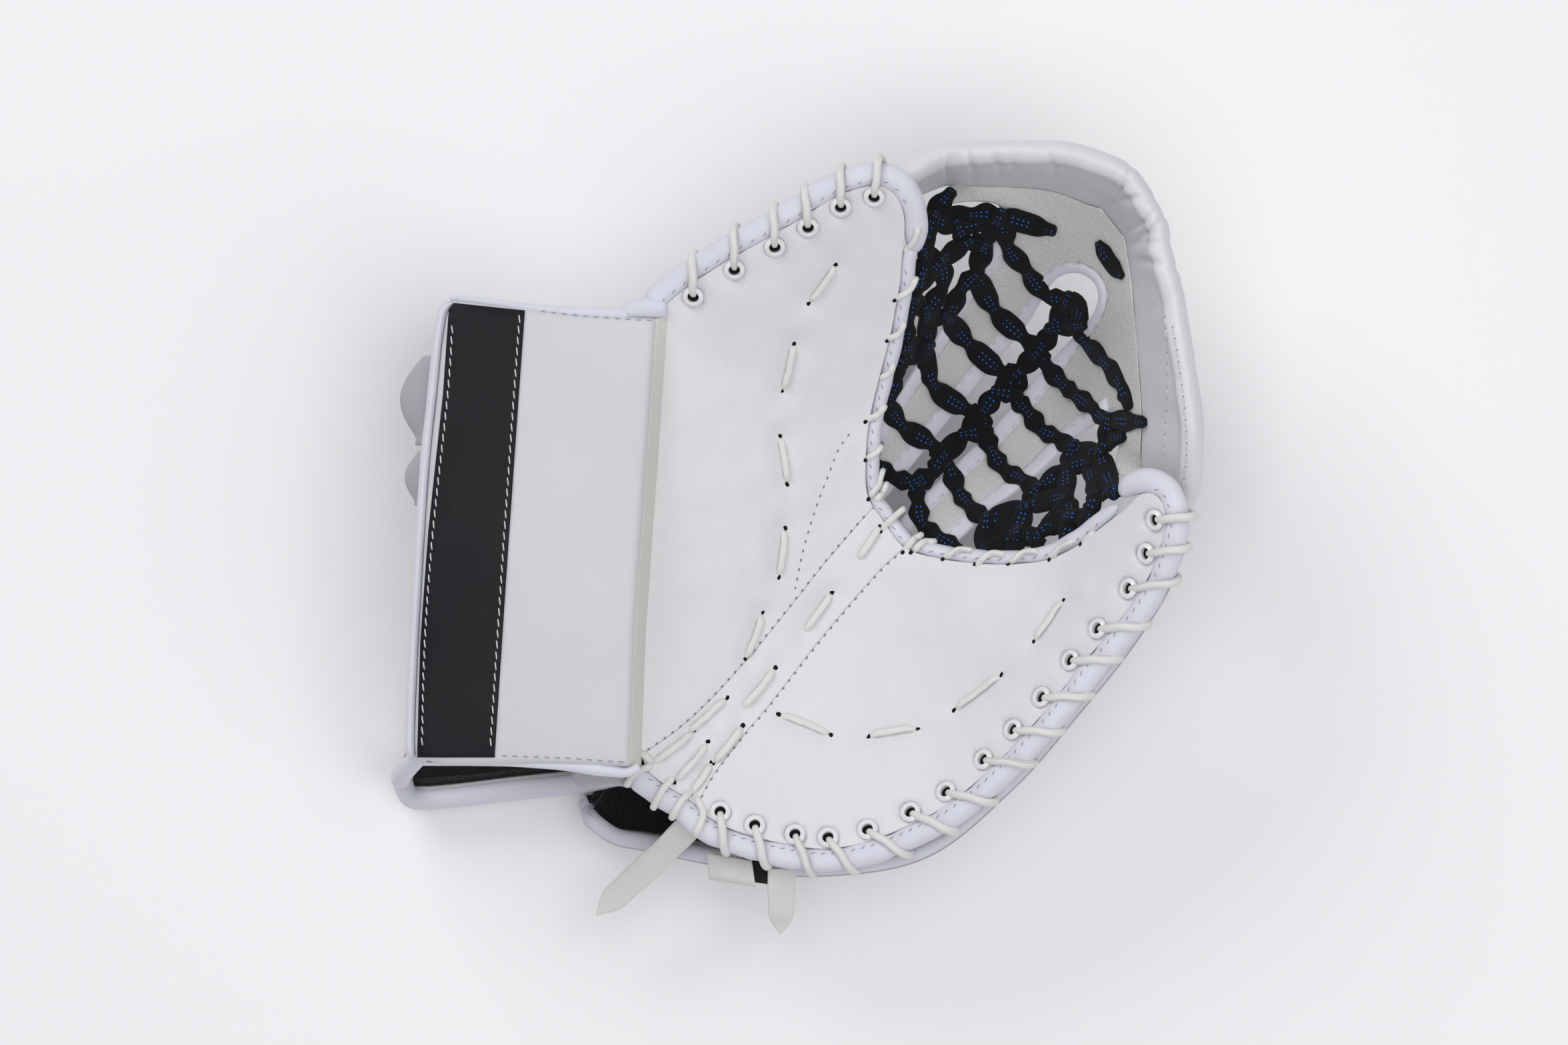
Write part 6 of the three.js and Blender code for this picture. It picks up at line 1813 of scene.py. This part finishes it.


# Painted shade of needle holes: one dark disc every pitch along a line.
def hole_shade_along(tree, line, pitch, start=0.0, **sizes):
    s = lengths(line)
    at = np.arange(start, s[-1], pitch)
    flat = np.column_stack([np.interp(at, s, line[:, 0]), np.interp(at, s, line[:, 1])])
    ahead = np.column_stack([np.interp(at + 0.0005, s, line[:, 0]), np.interp(at + 0.0005, s, line[:, 1])])
    back = np.column_stack([np.interp(at - 0.0005, s, line[:, 0]), np.interp(at - 0.0005, s, line[:, 1])])
    return hole_shade_data(tree, flat, ahead - back, **sizes)


def joined_piece(name, parts, material):
    vertices, faces, uvs = join_data(parts)
    return finish_piece(make_object(name, vertices, faces, material, uvs))


def quilt_cord(tree, a, b, width=0.0030, thickness=0.0017):
    """A flat cord between two holes, sunk at both ends."""
    steps = np.linspace(0, 1, 17)
    side = np.array([-(b - a)[1], (b - a)[0]])
    side /= np.linalg.norm(side)
    flat = a + np.outer(steps, b - a) + np.outer(0.0005 * np.sin(steps * math.pi), side)
    points, normals = drape(tree, flat)
    arch = np.clip(np.minimum(steps, 1 - steps) / 0.14, 0, 1)
    rise = (np.sqrt(arch * (2 - arch)) * 1.55 - 0.75) * thickness
    points = points + normals * rise[:, None]
    ends = 0.75 + 0.25 * arch
    return ribbon_data(smoothed(points, 2), normals, width * ends, thickness * ends, 14, 2.1)


def over_roll(tree, inner, outer, drop=0.005, radius=0.0014, bow=0.0, sunk=True):
    """A cord from a hole in the leather over a roll and down its far side."""
    steps = np.linspace(0, 1, 15)
    side = np.array([-(outer - inner)[1], (outer - inner)[0]])
    flat = inner + np.outer(steps, outer - inner) + np.outer(bow * np.sin(steps * math.pi), side)
    points, normals = drape(tree, flat)
    normals = smoothed(normals, 2)
    lift = radius * 0.72 * np.ones(len(steps))
    if sunk:
        lift[:2] = (-radius * 1.2, radius * 0.25)
    points = points + normals * lift[:, None]
    direction = flat[-1] - flat[-2]
    direction /= np.linalg.norm(direction)
    top = points[-1]
    down = []
    for share in np.linspace(0.2, 1, 6):
        out = direction * (0.0007 * math.sin(share * math.pi) - 0.0010 * share ** 2)
        down.append([top[0] + out[0], top[1] + out[1], top[2] - drop * share])
    line = smoothed(np.vstack([points, down]), 2)
    return tube_data(resample(line, 0.0007), radius, 12, 0.9)


def stitched_palm():
    tree = skin_tree(*palm_skins)
    rolls = skin_tree(*palm_skins, *roll_skins.values())
    cords, holes = [], []
    for index, pair in enumerate(CORDS_THUMB + CORDS_BREAK + CORDS_FINGER):
        a, b = spots(pair)
        cords.append(quilt_cord(tree, a, b))
        way = (b - a) / np.linalg.norm(b - a)
        ends = [a] if index in (5, 6, 7, 8, 9) else [a, b]
        for end in ends:
            sign = -1 if end is a else 1
            holes.append(hole_shade_data(tree, (end + way * sign * 0.0006)[None], [way], long=0.0014, wide=0.0011))
    joined_piece("quilting_cords", cords, MATERIALS["waxed_lace"])
    seams = [offset(upper_seam, 0.0004), offset(lower_seam, -0.0004), thumb_seam]
    seam_hole_shade = []
    for line in seams:
        line = line[inside(line, palm_outline)]
        seam_hole_shade.append(hole_shade_along(tree, line[2:-2], 0.0042, long=0.00075, wide=0.00045))
    # Painted shade: dark discs for the insides of the cord holes and the seams' needle holes.
    joined_piece("palm_cord_hole_shade", holes, MATERIALS["hole"])
    joined_piece("palm_seam_hole_shade", seam_hole_shade, MATERIALS["needle_hole"])
    whips, whip_hole_shade = [], []
    for outer, inner, bow in WHIPS:
        outer, inner = spots([outer, inner])
        way = (outer - inner) / np.linalg.norm(outer - inner)
        whips.append(over_roll(rolls, inner, outer, radius=0.00145, bow=bow))
        whip_hole_shade.append(hole_shade_data(tree, (inner - way * 0.0010)[None], [way], long=0.0011, wide=0.0009))
    joined_piece("pocket_whip_cords", whips, MATERIALS["waxed_lace"])
    # Painted shade: dark discs for the insides of the whip cords' holes.
    joined_piece("pocket_whip_hole_shade", whip_hole_shade, MATERIALS["hole"])
    heel = []
    for inner, outer, bow in HEEL_CORDS:
        inner, outer = spots([inner, outer])
        heel.append(over_roll(rolls, inner, outer, drop=0.008, radius=0.00165, bow=bow))
    joined_piece("heel_lacing_cords", heel, MATERIALS["waxed_lace"])
    ticks = []
    for line, pitch in ((offset(thumb_roll, -EDGE_ROLL_WIDTH * 0.32)[4:-14], 0.0058),
                        (offset(finger_roll, -EDGE_ROLL_WIDTH * 0.32)[14:-4], 0.0044),
                        (offset(pocket_roll, -POCKET_ROLL_WIDTH * 0.16)[8:-8], 0.0050)):
        ticks.extend(stitch_data(rolls, line, pitch, 0.0022, 0.00045, 0.0004, twist=0.0009))
    joined_piece("roll_seam_ticks", ticks, MATERIALS["tick"])
    rows = []
    for obj, line in tee_bindings:
        rows.extend(stitch_data(skin_tree(obj), line[2:-2], 0.0056, 0.0036, 0.0007, 0.0005))
    joined_piece("tee_seam_threads", rows, MATERIALS["thread"])


# Columns: inner end, outer end, sideways bow.
HEEL_CORDS = [
    ((831, 977), (799, 1002), -0.04), ((858, 993), (833, 1031), -0.06), ((880, 1012), (857, 1044), -0.05),
    ((885, 1017), (889, 1063), 0.20), ((811, 961), (827, 970), 0.10),
]
threads = []
stitched_palm()


rim_hole_shade = []


def stitched_rim():
    tree = skin_tree(rim_skin)
    for row in ([(1479, 408), (1484, 473), (1484, 530), (1482, 581)],
                [(1488, 421), (1498, 479), (1506, 547), (1507, 592), (1503, 642)]):
        line = resample(catmull(spots(row), 6), 0.002)
        threads.extend(stitch_data(tree, line, 0.0050, 0.0038, 0.0009, 0.0008))
        rim_hole_shade.append(hole_shade_along(tree, line, 0.0050, 0.0001, long=0.0007, wide=0.0005))


stitched_rim()
# Painted shade: grey discs for the needle holes along the rim's seams.
joined_piece("rim_seam_hole_shade", rim_hole_shade, MATERIALS["tick"])


cuff_ticks = []


def stitched_cuff():
    band = skin_tree(bpy.data.objects["cuff_band_leather"])
    front = skin_tree(bpy.data.objects["cuff_front_pad"])
    left = resample(catmull(plan([BAND_LEATHER[0], *BAND_LEATHER[:4:-1]]), 4), 0.002)
    right = resample(plan([BAND_LEATHER[3], BAND_LEATHER[4]]), 0.002)
    for line, side in ((left, 1), (right, -1)):
        line = offset(line, side * 0.0021)[1:-1]
        threads.extend(stitch_data(band, line, 0.0047, 0.0039, 0.00065, 0.0007, twist=0.0007))
    for row in ([(690, 398), (740, 404), (800, 408), (838, 410)],
                [(600, 965), (636, 963), (719, 966), (775, 970), (806, 972)]):
        ticks = stitch_data(front, resample(spots(row), 0.002), 0.0046, 0.0026, 0.00055, 0.0005)
        cuff_ticks.extend(ticks)
    lip = []
    for start, direction, path, *_ in wrap_sections:
        inner = cad_offset(path, WRAP_THICKNESS)
        lip.append([start[0] + direction[0] * inner[-5, 0], start[1] + direction[1] * inner[-5, 0]])
    tree = skin_tree(bpy.data.objects["cuff_wrap_skin"])
    threads.extend(stitch_data(tree, resample(np.array(lip), 0.002)[2:-2], 0.0046, 0.0034, 0.0007, 0.0006))


stitched_cuff()
joined_piece("cuff_seam_ticks", cuff_ticks, MATERIALS["tick"])
joined_piece("seam_threads", threads, MATERIALS["thread"])


def wrap_lip():
    """The ribbed binding round the lip of the wrist wrap."""
    line = []
    for start, direction, path, *_ in wrap_sections:
        x, z = cad_offset(path, WRAP_THICKNESS * 0.5)[-1]
        line.append([start[0] + direction[0] * x, start[1] + direction[1] * x, z])
    line = smoothed(resample(np.array(line), 0.0016), 4)
    data = tube_data(line, WRAP_THICKNESS * 0.56, 14, 1.0)
    corner = spots([(502, 1001), (500, 1001), (503, 999), (508, 991), (517, 981), (530, 968), (546, 954)])
    inside_pad = cuff_face(corner[-1:])[0] - CUFF_THICKNESS * 0.6
    corner = np.column_stack([corner, [0.012, 0.026, 0.040, 0.048, 0.058, 0.068, inside_pad]])
    rise = tube_data(resample(catmull(corner, 6), 0.0014), 0.0042, 14, 1.0)
    data = join_data([data, rise])
    made = make_object("cuff_wrap_binding", *data[:2], MATERIALS["binding_nylon"], data[2])
    finish_piece(made)


wrap_lip()


def satin_tab():
    """The small grey tab below the cuff's lower corner, as a flat padded slab with a slight ripple."""
    outline = spots([(727, 990), (735, 984), (752, 982), (776, 984), (798, 990), (817, 998), (812, 1008), (786, 1005),
                     (760, 1008), (735, 1007)])
    height = palm_face(spots([(812, 1003)]))[0] - ROLL_DROP
    closed = np.vstack([outline, outline[:1]])
    outline = tidy_outline(resample(catmull(closed, 4), 0.0014)[:-1], 0.0012)
    made = padded_slab("wrap_satin_tab", outline, lambda q: np.full(len(q), height), 0.0035, 0.0016, MATERIALS["satin"],
                       0.002, lambda q, gap: 0.0004 * ripple(q, 0.012, 3))
    finish_piece(made)


satin_tab()


# Floor, light and camera.
def stage_floor():
    size = 3.0
    vertices = [(-size, -size, 0), (size, -size, 0), (size, size, 0), (-size, size, 0)]
    pale = Nodes("floor_pale", (0.95, 0.95, 0.95), 0.8, specular=0.1)
    pale.relief(pale.noise(40, 3), 0.0002)
    floor = make_object("floor_stage", vertices, [(0, 1, 2, 3)], pale.material, smooth=False)
    floor.location.z = -0.0005


def add_light(name, place, target, size, power, colour=(1, 1, 1)):
    data = bpy.data.lights.new(name, "AREA")
    data.shape = "RECTANGLE"
    data.size, data.size_y = size
    data.energy = power
    data.color = colour
    light = bpy.data.objects.new(name, data)
    light.location = place
    light.rotation_euler = (Vector(target) - Vector(place)).to_track_quat("-Z", "Y").to_euler()
    bpy.context.scene.collection.objects.link(light)


def stage_camera():
    data = bpy.data.cameras.new("view_camera")
    camera = bpy.data.objects.new("view_camera", data)
    data.sensor_width = 36
    distance = 3.0
    view_width = 2000 * 0.00034
    data.lens = 36 * (distance - 0.09) / view_width
    target = spots([(1000, 666.5)])[0]
    camera.location = (target[0], target[1], distance)
    camera.rotation_euler = (0, 0, 0)
    data.clip_end = 20
    bpy.context.scene.collection.objects.link(camera)
    bpy.context.scene.camera = camera


stage_floor()
add_light("key_light", (-1.5, 2.0, 1.9), (0, 0, 0.05), (1.6, 1.6), 31)
add_light("fill_light", (1.6, -1.2, 1.8), (0, 0, 0.05), (2.0, 2.0), 10.5)
add_light("top_light", (0.16, -0.02, 1.5), (0.12, -0.02, 0), (1.1, 1.1), 8.2)
world = bpy.data.worlds.new("studio_world")
world.use_nodes = True
world.node_tree.nodes["Background"].inputs["Color"].default_value = (0.93, 0.95, 1.0, 1)
world.node_tree.nodes["Background"].inputs["Strength"].default_value = 0.40
bpy.context.scene.world = world
bpy.context.scene.view_settings.view_transform = "Standard"
stage_camera()
